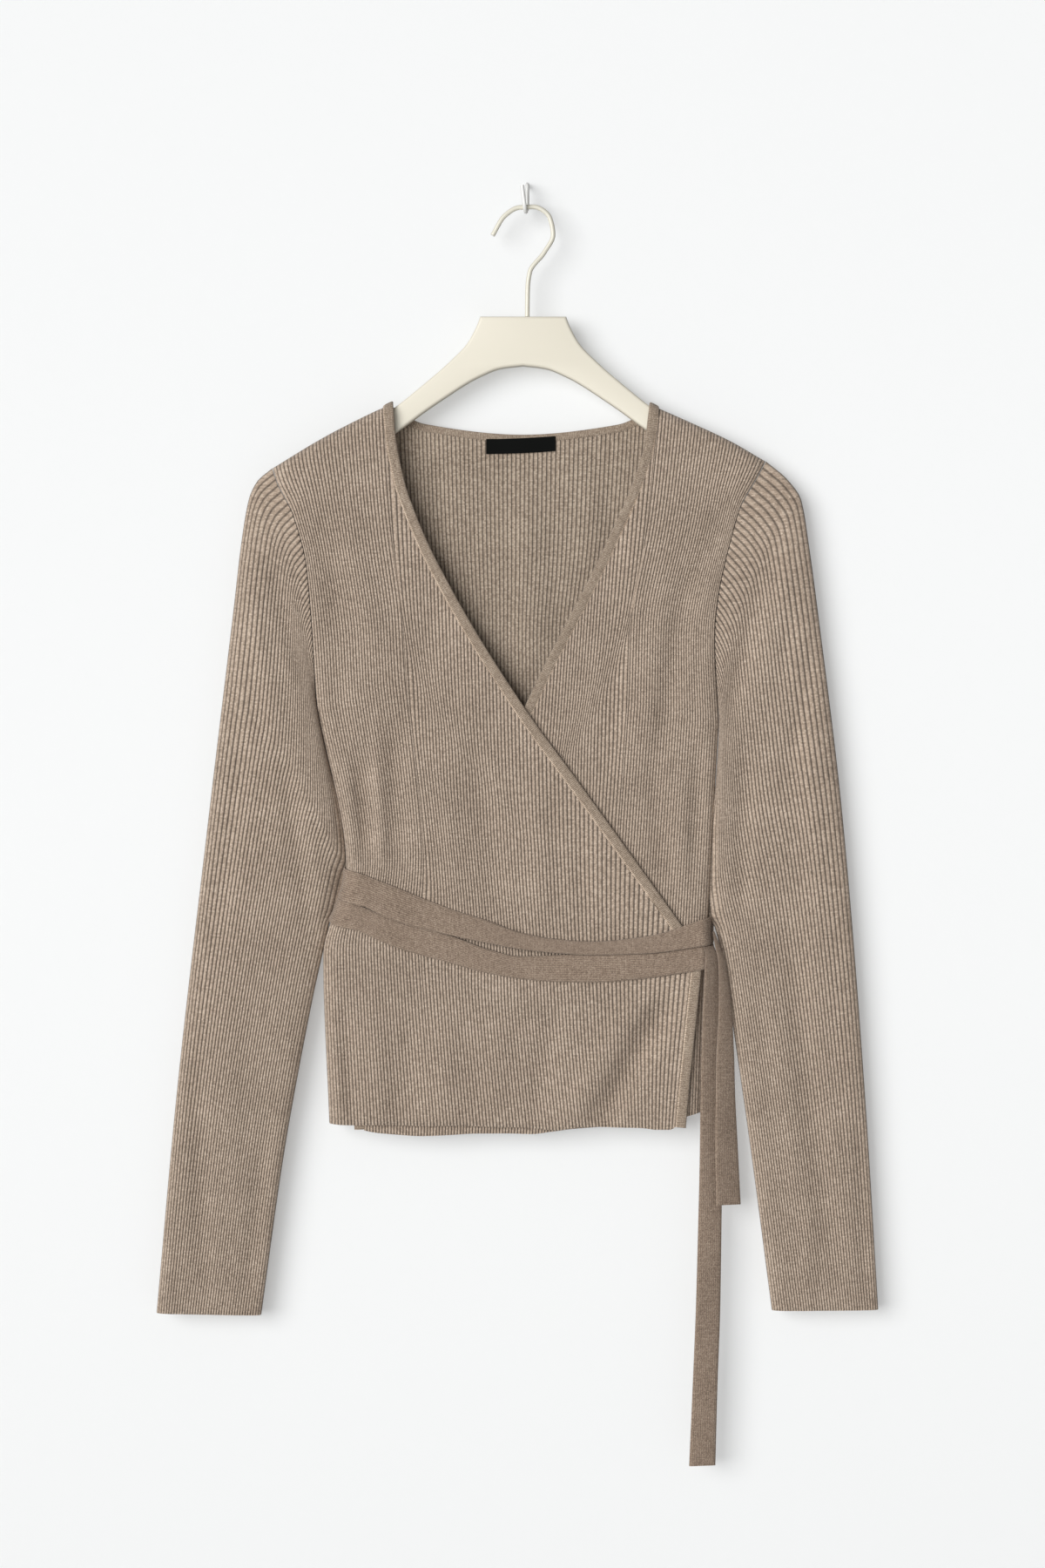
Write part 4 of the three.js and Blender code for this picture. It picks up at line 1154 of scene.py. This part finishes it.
# Section of a band across its edge: offset from the seam as a share of its width, and height as a share of its rise
BAND_SECTION = (
    (-0.08, 0.25), (-0.02, 0.7), (0.2, 0.94), (0.45, 1.0), (0.7, 1.04), (0.88, 1.0), (0.97, 0.78), (1.0, 0.45),
    (0.96, 0.12), (0.75, 0.0), (0.4, 0.0), (0.0, 0.05),
)
# Where a band's stations stand on its climb to the shoulder seam, in degrees, and how far it rises over the hanger
ARCH_DEGREES = (0, 12, 24, 36, 48, 60, 72, 82)
NECK_RISE = 2.0
# Direction of a band's width where its climb starts, for the wearer's right side
NECK_NORMAL = (0.92, 0.39)


@dataclass(frozen=True)
class Band:
    """A narrow knitted band on an open edge."""

    node: str
    side: Side
    depth: float
    width: float
    stations: Sequence[Station]
    thickness: float = 2.2

    def build(self, material: bpy.types.Material) -> bpy.types.Object:
        """Makes the band.

        Args:
            material: its knit.

        Returns:
            The band's object.
        """
        section = np.array(BAND_SECTION + BAND_SECTION[:1])
        offset = section[:, 0] * self.width
        rise = section[:, 1] * self.thickness
        place = np.array([(s.x, s.z, *s.normal, s.arch, *s.along) for s in self.stations])
        x, z, nx, nz, arch, ax, az = (column[:, None] for column in place.T)
        drop = (self.thickness - rise) * np.cos(arch)
        depth = HALF_GAP + (self.depth + rise - HALF_GAP) * np.sin(arch)
        y = MID_Y + self.side.value * depth + 0 * x
        points = np.stack([x + nx * offset + ax * drop, y, z + nz * offset + az * drop], axis=-1)
        step = np.hypot(np.diff(place[:, 0]), np.diff(place[:, 1]))
        along = np.concatenate([[0], np.cumsum(step)])[:, None]
        around = np.concatenate([[0], np.cumsum(np.hypot(*np.diff(np.stack([offset, rise]), axis=1)))])
        pattern = np.stack([along + 0 * offset, around + 0 * along], axis=-1)
        cloth = ClothMesh()
        cloth.cap(cloth.add_grid(points, pattern, flip=False))
        return dress(cloth.build(f"{self.node}_cloth"), self.node, material)


def neck_arch(rows: Sequence[TopRow], neck_row: int, step: int) -> list[Station]:
    """Makes the stations that climb from a panel's full depth to the shoulder seam at the neck.

    Args:
        rows: the panel's upper edge.
        neck_row: the row of the neck point.
        step: the way from it to the next row of the neck.

    Returns:
        The stations from the shoulder seam down.
    """
    neck, below = rows[neck_row], rows[neck_row + step]
    normal = (step * NECK_NORMAL[0], NECK_NORMAL[1])
    length = math.hypot(below.x - neck.x, below.z - neck.z)
    along = ((below.x - neck.x) / length, (below.z - neck.z) / length)
    square = (math.copysign(abs(along[1]), normal[0]), abs(along[0]))
    stations = []
    for degrees in ARCH_DEGREES:
        arch = math.radians(degrees)
        t = 1 - math.cos(arch)
        blend = (lerp(square[0], normal[0], 1 - t), lerp(square[1], normal[1], 1 - t))
        z = lerp(neck.z, below.z, t) + NECK_RISE * math.cos(arch)
        stations.append(Station(lerp(neck.x, below.x, t), z, blend, arch, along))
    return stations


def edge_stations(x: np.ndarray, z: np.ndarray, turn: int) -> list[Station]:
    """Makes the stations of a band along an open edge.

    Args:
        x: places across along the edge.
        z: their heights.
        turn: the side of the edge on which the band lies.

    Returns:
        The stations.
    """
    dx, dz = np.gradient(x), np.gradient(z)
    reach = 3
    kernel = np.ones(2 * reach + 1) / (2 * reach + 1)
    dx, dz = (np.convolve(np.pad(d / np.hypot(dx, dz), reach, mode="edge"), kernel, mode="valid") for d in (dx, dz))
    length = np.hypot(dx, dz)
    normals = zip(turn * -dz / length, turn * dx / length)
    return [Station(a, b, n, math.pi / 2, (0.0, 0.0)) for a, b, n in zip(x, z, normals)]


def resample(x: np.ndarray, z: np.ndarray, step: float) -> tuple[np.ndarray, np.ndarray]:
    """Spaces points evenly along a line.

    Args:
        x: places across.
        z: heights.
        step: the wanted distance.

    Returns:
        The new points.
    """
    along = np.concatenate([[0], np.cumsum(np.hypot(np.diff(x), np.diff(z)))])
    at = np.linspace(0, along[-1], int(along[-1] / step) + 1)
    return np.interp(at, along, x), np.interp(at, along, z)


# Sections of a stretch and of a tail: shares of the width and of the thickness, over the top and back underneath
STRETCH_SECTION = (
    (0, 0.45), (0.03, 0.85), (0.12, 1.06), (0.3, 0.98), (0.5, 0.94), (0.7, 0.98), (0.88, 1.06), (0.97, 0.85),
    (1, 0.45), (0.95, 0), (0.7, 0), (0.4, 0), (0.05, 0),
)
TAIL_SECTION = (
    (0, 0.45), (0.03, 0.85), (0.14, 1.05), (0.36, 0.97), (0.5, 0.93), (0.64, 0.97), (0.86, 1.05), (0.97, 0.85),
    (1, 0.45), (0.95, 0), (0.7, 0), (0.5, 0), (0.3, 0), (0.05, 0),
)
# The point of both sections that is in the middle of the face
SECTION_MIDDLE = 4


@dataclass(frozen=True)
class WaistTie:
    """The tie: two stretches across the front, two across the back, and two hanging tails."""

    material: bpy.types.Material
    thickness: float = 1.8
    clear: float = 0.4
    right_side: float = 132.9
    side_round: float = 5
    back_bulge: float = 4.2
    back_off: float = 0.3
    back_wave: float = 31
    turn_degrees: float = 84
    turn_steps: int = 10
    left_degrees_per_mm: float = 8
    right_degrees_per_mm: float = 14
    flat_steps: int = 110
    tail_thickness: float = 1.7
    long_front_y: float = -21.9
    short_front_y: float = -24.3
    tail_step: float = 3
    crease_power: float = 1.3
    pattern_width: float = 20

    def stretch(self, node: str, rows: Sequence[TieRow], is_front: bool) -> bpy.types.Object:
        """Makes one stretch, flat across the body and turned round both sides.

        Args:
            node: the solid that it replaces.
            rows: its edges.
            is_front: whether it crosses the front.

        Returns:
            The stretch's object.
        """
        left, right = rows[0].x, rows[-1].x
        lines = [TableLine([r.x for r in rows], [getattr(r, name) for r in rows]) for name in TieRow._fields[1:]]
        flat_depth = (OVER_DEPTH if is_front else BACK_DEPTH) + KNIT + self.clear
        turns = np.linspace(0, self.turn_degrees, self.turn_steps)
        flat_x = np.linspace(left + SIDE_ROUND + 2, right - self.side_round - 1, self.flat_steps)
        first_x, last_x = left + turns / self.left_degrees_per_mm, right - turns / self.right_degrees_per_mm
        place = np.concatenate([first_x, flat_x, last_x[::-1]])
        angle = np.radians(np.concatenate([turns, 0 * flat_x + 90, turns[::-1]]))
        end = np.concatenate([0 * turns - 1, 0 * flat_x, 0 * turns + 1])[:, None]
        if is_front:
            top, bottom, top_off, bottom_off = (line(place) for line in lines)
        else:
            t = (place - left) / (right - left)
            top, bottom = lerp(rows[0].top, rows[-1].top, t), lerp(rows[0].bottom, rows[-1].bottom, t)
            top_off = bottom_off = self.back_off * (1 + np.sin(place / self.back_wave))
        section = np.array(STRETCH_SECTION + STRETCH_SECTION[:1])
        across, rise = section[:, 0][None, :], self.thickness * section[:, 1][None, :]
        sine, cosine = np.sin(angle)[:, None], np.cos(angle)[:, None]
        z = lerp(top[:, None], bottom[:, None], across)
        off = lerp(top_off[:, None], bottom_off[:, None], across) * sine + rise
        edge_line = TableLine([r.z for r in RIGHT_EDGE], [r.x for r in RIGHT_EDGE])
        reach = off + self.clear
        at_left = edge_line(z) - reach + (SIDE_ROUND + reach) * (1 - cosine)
        at_right = self.right_side + off - (self.side_round + reach) * (1 - cosine)
        x = np.where(end < 0, at_left, np.where(end > 0, at_right, place[:, None] + 0 * z))
        if not is_front:
            x = x + end * self.back_bulge * np.sin(2 * angle)[:, None]
        y = MID_Y + (-1 if is_front else 1) * (HALF_GAP + (flat_depth + off) * sine)
        return self._strip(node, np.stack([x, y, z], axis=-1), section)

    def tail(self, node: str, rows: Sequence[TailRow], front_y: float) -> bpy.types.Object:
        """Makes one hanging tail.

        Args:
            node: the solid that it replaces.
            rows: its edges and folds.
            front_y: the plane of its front face.

        Returns:
            The tail's object.
        """
        lines = [TableLine([r.z for r in rows], [getattr(r, name) for r in rows]) for name in TailRow._fields[1:]]
        z = np.linspace(rows[0].z, rows[-1].z, int((rows[-1].z - rows[0].z) / self.tail_step))
        left, right, left_out, right_out, crease = (line(z)[:, None] for line in lines)
        section = np.array(TAIL_SECTION + TAIL_SECTION[:1])
        across, rise = section[:, 0][None, :], self.tail_thickness * section[:, 1][None, :]
        x = lerp(left, right, across)
        lift = lerp(left_out, right_out, across) + crease * (1 - np.abs(2 * across - 1)) ** self.crease_power
        y = front_y + self.tail_thickness - rise - lift
        return self._strip(node, np.stack([x, y, z[:, None] + 0 * x], axis=-1), section)

    def _strip(self, node: str, points: np.ndarray, section: np.ndarray) -> bpy.types.Object:
        """Closes a swept section into a piece of cloth.

        Args:
            node: the solid that it replaces.
            points: the sections' points.
            section: the section itself, as shares of the width and thickness.

        Returns:
            The strip's object.
        """
        middle = points[:, SECTION_MIDDLE]
        along = np.concatenate([[0], np.cumsum(np.linalg.norm(np.diff(middle, axis=0), axis=-1))])[:, None]
        pattern = np.stack([section[:, 0] * self.pattern_width + 0 * along, along + 0 * section[:, 0]], axis=-1)
        cloth = ClothMesh()
        cloth.cap(cloth.add_grid(points, pattern, flip=False))
        return dress(cloth.build(f"{node}_cloth"), node, self.material)


@dataclass
class Body:
    """The two fronts, the back, their bands and the label."""

    finishes: Finishes
    over_band: float = 7.6
    under_band: float = 7.2
    neck_band: float = 5.4
    band_step: float = 2.0
    label_centre: tuple[float, float] = (-4.8, -192.4)
    label_size: Point = (51.0, 11.0, 0.6)
    label_rise: float = 2.2
    label_sag: float = 0.5
    label_gap: float = 0.35
    label_wave: float = 0.25

    def __post_init__(self) -> None:
        """Makes the outlines that the pieces share."""
        self.right = edge_by_height(RIGHT_EDGE, (UNDERARM_ROW,))
        self.left = edge_by_height(LEFT_EDGE, (UNDERARM_ROW,))
        self.over_top = top_line(OVER_TOP, (OVER_NECK_ROW, OVER_NECK_ROW + 1, len(OVER_TOP) - 2))
        self.under_top = top_line(UNDER_TOP, (UNDER_NECK_ROW, UNDER_NECK_ROW - 1))
        first, last = BACK_NECK_ROWS
        self.back_top = top_line(BACK_TOP, (first, first + 1, last - 1, last))
        self.over_free = edge_by_height(OVER_FREE_EDGE)
        self.under_free = edge_by_height(UNDER_FREE_EDGE)

    def panels(self) -> list[bpy.types.Object]:
        """Makes the three panels.

        Returns:
            The over front, the under front and the back.
        """
        over = BodyPanel(
            node="right_front", side=Side.FRONT, depth=OVER_DEPTH, width=252, ribs=105, rows=100,
            plan=Plan(self.right, self.over_free, hem_line(OVER_HEM), self.over_top, bow=-4),
            left_seam=True, right_seam=False, shoulder=shoulder_share(OVER_TOP, OVER_NECK_ROW, 1),
        )
        under = BodyPanel(
            node="left_front", side=Side.FRONT, depth=UNDER_DEPTH, width=247, ribs=112, rows=94,
            plan=Plan(self.under_free, self.left, hem_line(UNDER_HEM), self.under_top),
            left_seam=False, right_seam=True, shoulder=shoulder_share(UNDER_TOP, UNDER_NECK_ROW, -1),
        )
        before = shoulder_share(BACK_TOP, BACK_NECK_ROWS[0], 1)
        after = shoulder_share(BACK_TOP, BACK_NECK_ROWS[1], -1)
        back = BodyPanel(
            node="back", side=Side.BACK, depth=BACK_DEPTH, width=273, ribs=114, rows=88,
            plan=Plan(self.right, self.left, hem_line(BACK_HEM), self.back_top),
            left_seam=True, right_seam=True, shoulder=lambda u: np.maximum(before(u), after(u)), ribbed_inside=True,
        )
        return [over.build(self.finishes.rib), under.build(self.finishes.rib), back.build(self.finishes.back)]

    @staticmethod
    def _top_run(line: Outline, rows: Sequence[TopRow], first: int, last: int) -> tuple[np.ndarray, np.ndarray]:
        """Follows an upper edge between two of its rows.

        Args:
            line: the upper edge.
            rows: its table.
            first: the row to start at.
            last: the row to end at.

        Returns:
            x and z along it.
        """
        span = rows[-1].hem - rows[0].hem
        places = [(rows[k].hem - rows[0].hem) / span for k in (first, last)]
        return line(np.linspace(places[0], places[1], 400))

    def _open_edge(self, run: tuple[np.ndarray, np.ndarray], free: Outline, turn: int) -> list[Station]:
        """Makes the stations of a front's band, down the slanted edge and on down the free edge.

        Args:
            run: x and z along the slanted edge.
            free: the free edge below it.
            turn: the side of the edge on which the band lies.

        Returns:
            The stations.
        """
        free_x, free_z = free(np.linspace(1, 0, 60)[1:])
        return edge_stations(*resample(np.append(run[0], free_x), np.append(run[1], free_z), self.band_step), turn)

    def bands(self) -> list[bpy.types.Object]:
        """Makes the bands of both fronts and of the back neck.

        Returns:
            The three bands.
        """
        over_run = self._top_run(self.over_top, OVER_TOP, OVER_NECK_ROW + 1, len(OVER_TOP) - 1)
        over_line = neck_arch(OVER_TOP, OVER_NECK_ROW, 1) + self._open_edge(over_run, self.over_free, 1)
        over = Band("right_front_band", Side.FRONT, OVER_DEPTH, self.over_band, over_line)

        under_run = self._top_run(self.under_top, UNDER_TOP, UNDER_NECK_ROW - 1, 0)
        under_line = neck_arch(UNDER_TOP, UNDER_NECK_ROW, -1) + self._open_edge(under_run, self.under_free, -1)
        under = Band("left_front_band", Side.FRONT, UNDER_DEPTH, self.under_band, under_line)

        first, last = BACK_NECK_ROWS
        neck_run = resample(*self._top_run(self.back_top, BACK_TOP, first + 1, last - 1), self.band_step)
        back_line = neck_arch(BACK_TOP, first, 1) + edge_stations(*neck_run, 1)
        back_line += neck_arch(BACK_TOP, last, -1)[::-1]
        back = Band("back_neck_band", Side.BACK, BACK_DEPTH, self.neck_band, back_line)
        return [band.build(self.finishes.band) for band in (over, under, back)]

    def label(self) -> bpy.types.Object:
        """Makes the bare label on the inside of the back.

        Returns:
            The label's object.
        """
        width, height, thickness = self.label_size
        u, v = np.meshgrid(np.linspace(-0.5, 0.5, 33), np.linspace(-0.5, 0.5, 9))
        x = self.label_centre[0] + u * width
        z = self.label_centre[1] + v * height + u * self.label_rise - self.label_sag * np.cos(math.pi * u)
        face = MID_Y + BACK_DEPTH - self.label_gap - self.label_wave * np.cos(math.pi * u * 3)
        cloth = ClothMesh()
        pattern = np.stack([x, z], axis=-1)
        front = cloth.add_grid(np.stack([x, face - thickness, z], axis=-1), pattern, flip=False)
        rear = cloth.add_grid(np.stack([x, face, z], axis=-1), pattern, flip=True)
        for line in (np.s_[0], np.s_[-1], np.s_[:, 0], np.s_[:, -1]):
            cloth.join(front[line], rear[line], flip=False)
        return dress(cloth.build("label_cloth"), "label", self.finishes.label)


@dataclass(frozen=True)
class HangerSet:
    """The shaped hanger, its hook and the wall hook."""

    finishes: Finishes
    centre_x: float = -3
    thickness: float = 10
    edge: float = 2.2
    hook_wire: float = 3.5
    wall_wire: float = 3.0

    def body(self) -> bpy.types.Object:
        """Makes the hanger's body with rounded edges.

        Returns:
            The body's object.
        """
        half = [*self._smooth_run(HANGER_TOP), HANGER_TIP, *self._smooth_run(HANGER_BOTTOM)]
        outline = [(self.centre_x + s.x, s.z) for s in half]
        outline += [(self.centre_x - s.x, s.z) for s in half[-2::-1]]
        curve = bpy.data.curves.new("hanger_outline", "CURVE")
        curve.dimensions = "2D"
        curve.fill_mode = "BOTH"
        spline = curve.splines.new("POLY")
        spline.points.add(len(outline) - 1)
        for point, (x, z) in zip(spline.points, outline):
            point.co = (x * MM, z * MM, 0, 1)
        spline.use_cyclic_u = True
        curve.bevel_depth = self.edge * MM
        curve.bevel_resolution = 4
        curve.offset = -self.edge * MM
        curve.extrude = (self.thickness / 2 - self.edge) * MM
        piece = as_mesh("hanger_plastic", curve)
        piece.rotation_euler = (math.radians(90), 0, 0)
        piece.location = (0, MID_Y * MM, 0)
        bpy.ops.object.transform_apply(location=True, rotation=True, scale=True)
        finish_mesh(piece, merge=True, angle=35)
        return dress(piece, "hanger_body", self.finishes.hanger)

    @staticmethod
    def _smooth_run(rows: Sequence[Spot]) -> list[Spot]:
        """Rounds a run of the hanger's outline.

        Args:
            rows: its points.

        Returns:
            The points of a smooth line through them.
        """
        place = np.arange(len(rows), dtype=float)
        at = np.linspace(0, len(rows) - 1, 6 * (len(rows) - 1) + 1)
        across = TableLine(place, [row.x for row in rows])(at)
        up = TableLine(place, [row.z for row in rows])(at)
        return [Spot(x, z) for x, z in zip(across.tolist(), up.tolist())]

    def wires(self) -> list[bpy.types.Object]:
        """Makes the hanger's hook and the wall hook.

        Returns:
            The two wires.
        """
        return [
            self._wire("hanger_hook", HOOK_PATH, self.hook_wire, self.finishes.hook),
            self._wire("wall_hook", WALL_HOOK_PATH, self.wall_wire, self.finishes.wall_hook),
        ]

    @staticmethod
    def _wire(name: str, path: Sequence[Point], diameter: float, material: bpy.types.Material) -> bpy.types.Object:
        """Makes a round wire.

        Args:
            name: the solid that it replaces.
            path: the points of its middle.
            diameter: its thickness.
            material: its finish.

        Returns:
            The wire's object.
        """
        curve = bpy.data.curves.new(f"{name}_path", "CURVE")
        curve.dimensions = "3D"
        place = np.arange(len(path), dtype=float)
        at = np.linspace(0, len(path) - 1, 10 * (len(path) - 1) + 1)
        smooth_path = np.stack([TableLine(place, [p[axis] for p in path])(at) for axis in range(3)], axis=1)
        spline = curve.splines.new("POLY")
        spline.points.add(len(smooth_path) - 1)
        for point, co in zip(spline.points, smooth_path):
            point.co = (*(co * MM), 1)
        curve.bevel_depth = diameter / 2 * MM
        curve.bevel_resolution = 5
        curve.use_fill_caps = True
        piece = as_mesh(f"{name}_metal", curve)
        finish_mesh(piece, merge=True, angle=50)
        return dress(piece, name, material)


class Light(NamedTuple):
    """One soft light that faces the garment.

    Its size is a sun's angle in radians or an area's width in metres, and its power is in watts for an area and in
    watts per square metre for a sun.
    """

    name: str
    kind: Lamp
    size: float
    power: float
    place: Point


@dataclass(frozen=True)
class Studio:
    """The pale wall and floor, the lights and the camera, in metres."""

    camera_distance: float = 2.5
    camera_target: Point = (-0.0035, -0.016, -0.442)
    frame_height: float = 1.152
    sensor_mm: float = 36.0
    plane_size: float = 6.0
    wall_place: Point = (0, 0.0006, -0.4)
    floor_place: Point = (0, -1.5, -1.35)
    wall_colour: int = 0xD3D4D4
    floor_colour: int = 0xF1F1F0
    wall_glow: float = 0.42
    surroundings: float = 0.22
    light_bounces: int = 6
    lamps: tuple[Light, ...] = (
        Light("key", Lamp.SUN, math.radians(42), 2.45, (-2.7, -3.6, 0.35)),
        Light("front", Lamp.AREA, 1.3, 20.0, (-0.75, -3.9, -0.6)),
        Light("rear", Lamp.AREA, 1.6, 26.0, (0.0, 3.2, 0.6)),
    )

    def stage(self) -> None:
        """Makes the wall and the floor."""
        upright = (math.radians(90), 0, 0)
        wall = self._plane("wall", self.wall_place, upright, self.wall_colour, True)
        floor = self._plane("floor", self.floor_place, (0, 0, 0), self.floor_colour, False)
        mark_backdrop(wall, floor)

    def _plane(self, name: str, place: Point, turn: Point, colour: int, one_sided: bool) -> bpy.types.Object:
        """Makes one plane of the stage.

        Args:
            name: its name.
            place: its middle.
            turn: its rotation.
            colour: its colour.
            one_sided: whether it glows a little and shows only from its front, and only to the camera.

        Returns:
            The plane.
        """
        bpy.ops.mesh.primitive_plane_add(size=self.plane_size, location=place, rotation=turn)
        plane = bpy.context.view_layer.objects.active
        plane.name = name
        tree = ShaderTree(name)
        inputs = {"Base Color": linear_colour(colour), "Roughness": 0.9, "Specular IOR Level": 0.1}
        if one_sided:
            inputs |= {"Emission Color": linear_colour(colour), "Emission Strength": self.wall_glow}
        shader = tree.add("ShaderNodeBsdfPrincipled", inputs)
        if one_sided:
            behind = tree.add("ShaderNodeNewGeometry").outputs["Backfacing"]
            to_camera = tree.add("ShaderNodeLightPath").outputs["Is Camera Ray"]
            unseen = tree.add(MATH, {0: 1.0, 1: to_camera}, operation="SUBTRACT")
            clear = tree.add(MATH, {0: behind, 1: unseen}, operation="MAXIMUM")
            glass = tree.add("ShaderNodeBsdfTransparent")
            shader = tree.add("ShaderNodeMixShader", {0: clear, 1: shader, 2: glass})
        tree.add("ShaderNodeOutputMaterial", {"Surface": shader})
        plane.data.materials.append(tree.material)
        return plane

    def lights(self) -> None:
        """Makes the soft light from the upper left, its fill, the light behind and the even surroundings."""
        world = bpy.data.worlds.new("studio")
        world.use_nodes = True
        background = world.node_tree.nodes["Background"]
        background.inputs["Color"].default_value = (1.0, 1.0, 1.0, 1.0)
        background.inputs["Strength"].default_value = self.surroundings
        bpy.context.scene.world = world
        for lamp in self.lamps:
            data = bpy.data.lights.new(lamp.name, lamp.kind.value)
            setattr(data, "angle" if lamp.kind is Lamp.SUN else "size", lamp.size)
            data.energy = lamp.power
            light = bpy.data.objects.new(lamp.name, data)
            bpy.context.collection.objects.link(light)
            light.location = lamp.place
            aim = Vector(self.camera_target) - Vector(lamp.place)
            light.rotation_euler = aim.to_track_quat("-Z", "Y").to_euler()
            light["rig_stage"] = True

    def camera(self) -> None:
        """Makes the camera for the photo's frame."""
        data = bpy.data.cameras.new("camera")
        camera = bpy.data.objects.new("camera", data)
        bpy.context.collection.objects.link(camera)
        camera.location = Vector(self.camera_target) + Vector((0, -self.camera_distance, 0))
        camera.rotation_euler = (math.radians(90), 0, 0)
        data.sensor_width = self.sensor_mm
        data.lens = self.sensor_mm * self.camera_distance / self.frame_height
        data.clip_start, data.clip_end = 0.1, 20.0
        bpy.context.scene.camera = camera

    def tones(self) -> None:
        """Shows the colours plainly, with as many light bounces as a pale studio needs."""
        scene = bpy.context.scene
        scene.cycles.max_bounces = self.light_bounces
        scene.view_settings.view_transform = "Standard"


def sleeve_plan(outer: Sequence[Spot], inner: Sequence[Spot], seam: Sequence[Spot], underarm: float) -> Plan:
    """Makes a sleeve's plan between its two folds.

    Args:
        outer: the outer fold from cuff to shoulder tip.
        inner: the inner fold from cuff to underarm.
        seam: the body's edge with the armhole seam.
        underarm: the height at which the seam starts.

    Returns:
        The plan.
    """
    tip = seam[-1].z
    line = TableLine([s.z for s in seam], [s.x for s in seam], (UNDERARM_ROW,))
    return Plan(
        left=edge_by_height(outer),
        right=edge_by_height(inner),
        bottom=lambda u: (lerp(outer[0].x, inner[0].x, u), lerp(outer[0].z, inner[0].z, u)),
        top=lambda u: (line(lerp(tip, underarm, u)), lerp(tip, underarm, u)),
        power=1,
        crown_power=0,
    )


def write_sizes() -> None:
    """Gathers the first and the last bounds of the shown object into a table that nothing uses."""
    names = ("after_load", "before_finish")
    sizes = {name: [list(corner) for corner in bounds] for name, bounds in zip(names, (FIRST_BOUNDS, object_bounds()))}


def main() -> None:
    """Builds the garment, its hanger and the studio."""
    logging.basicConfig(level=logging.INFO)
    finishes = Finishes()
    body = Body(finishes)
    made = [*body.panels(), *body.bands(), body.label()]
    right_plan = sleeve_plan(RIGHT_SLEEVE_OUTER, RIGHT_SLEEVE_INNER, RIGHT_EDGE, RIGHT_UNDERARM)
    left_plan = sleeve_plan(LEFT_SLEEVE_OUTER, LEFT_SLEEVE_INNER, LEFT_EDGE, LEFT_UNDERARM)
    made.append(Sleeve("right_sleeve", -1, OVER_DEPTH, right_plan, Tuck(-545, -430, 3.0)).build(finishes.rib))
    made.append(Sleeve("left_sleeve", 1, UNDER_DEPTH, left_plan, Tuck(-549, -440, 4.2)).build(finishes.rib))
    tie = WaistTie(finishes.tie)
    made += [
        tie.stretch("tie_upper_front", TIE_UPPER, True),
        tie.stretch("tie_lower_front", TIE_LOWER, True),
        tie.stretch("tie_upper_back", TIE_UPPER, False),
        tie.stretch("tie_lower_back", TIE_LOWER, False),
        tie.tail("tie_tail_long", TAIL_LONG, tie.long_front_y),
        tie.tail("tie_tail_short", TAIL_SHORT, tie.short_front_y),
    ]
    hanger = HangerSet(finishes)
    made += [hanger.body(), *hanger.wires()]
    studio = Studio()
    studio.stage()
    studio.lights()
    studio.camera()
    studio.tones()
    write_sizes()


if __name__ == "__main__":
    main()
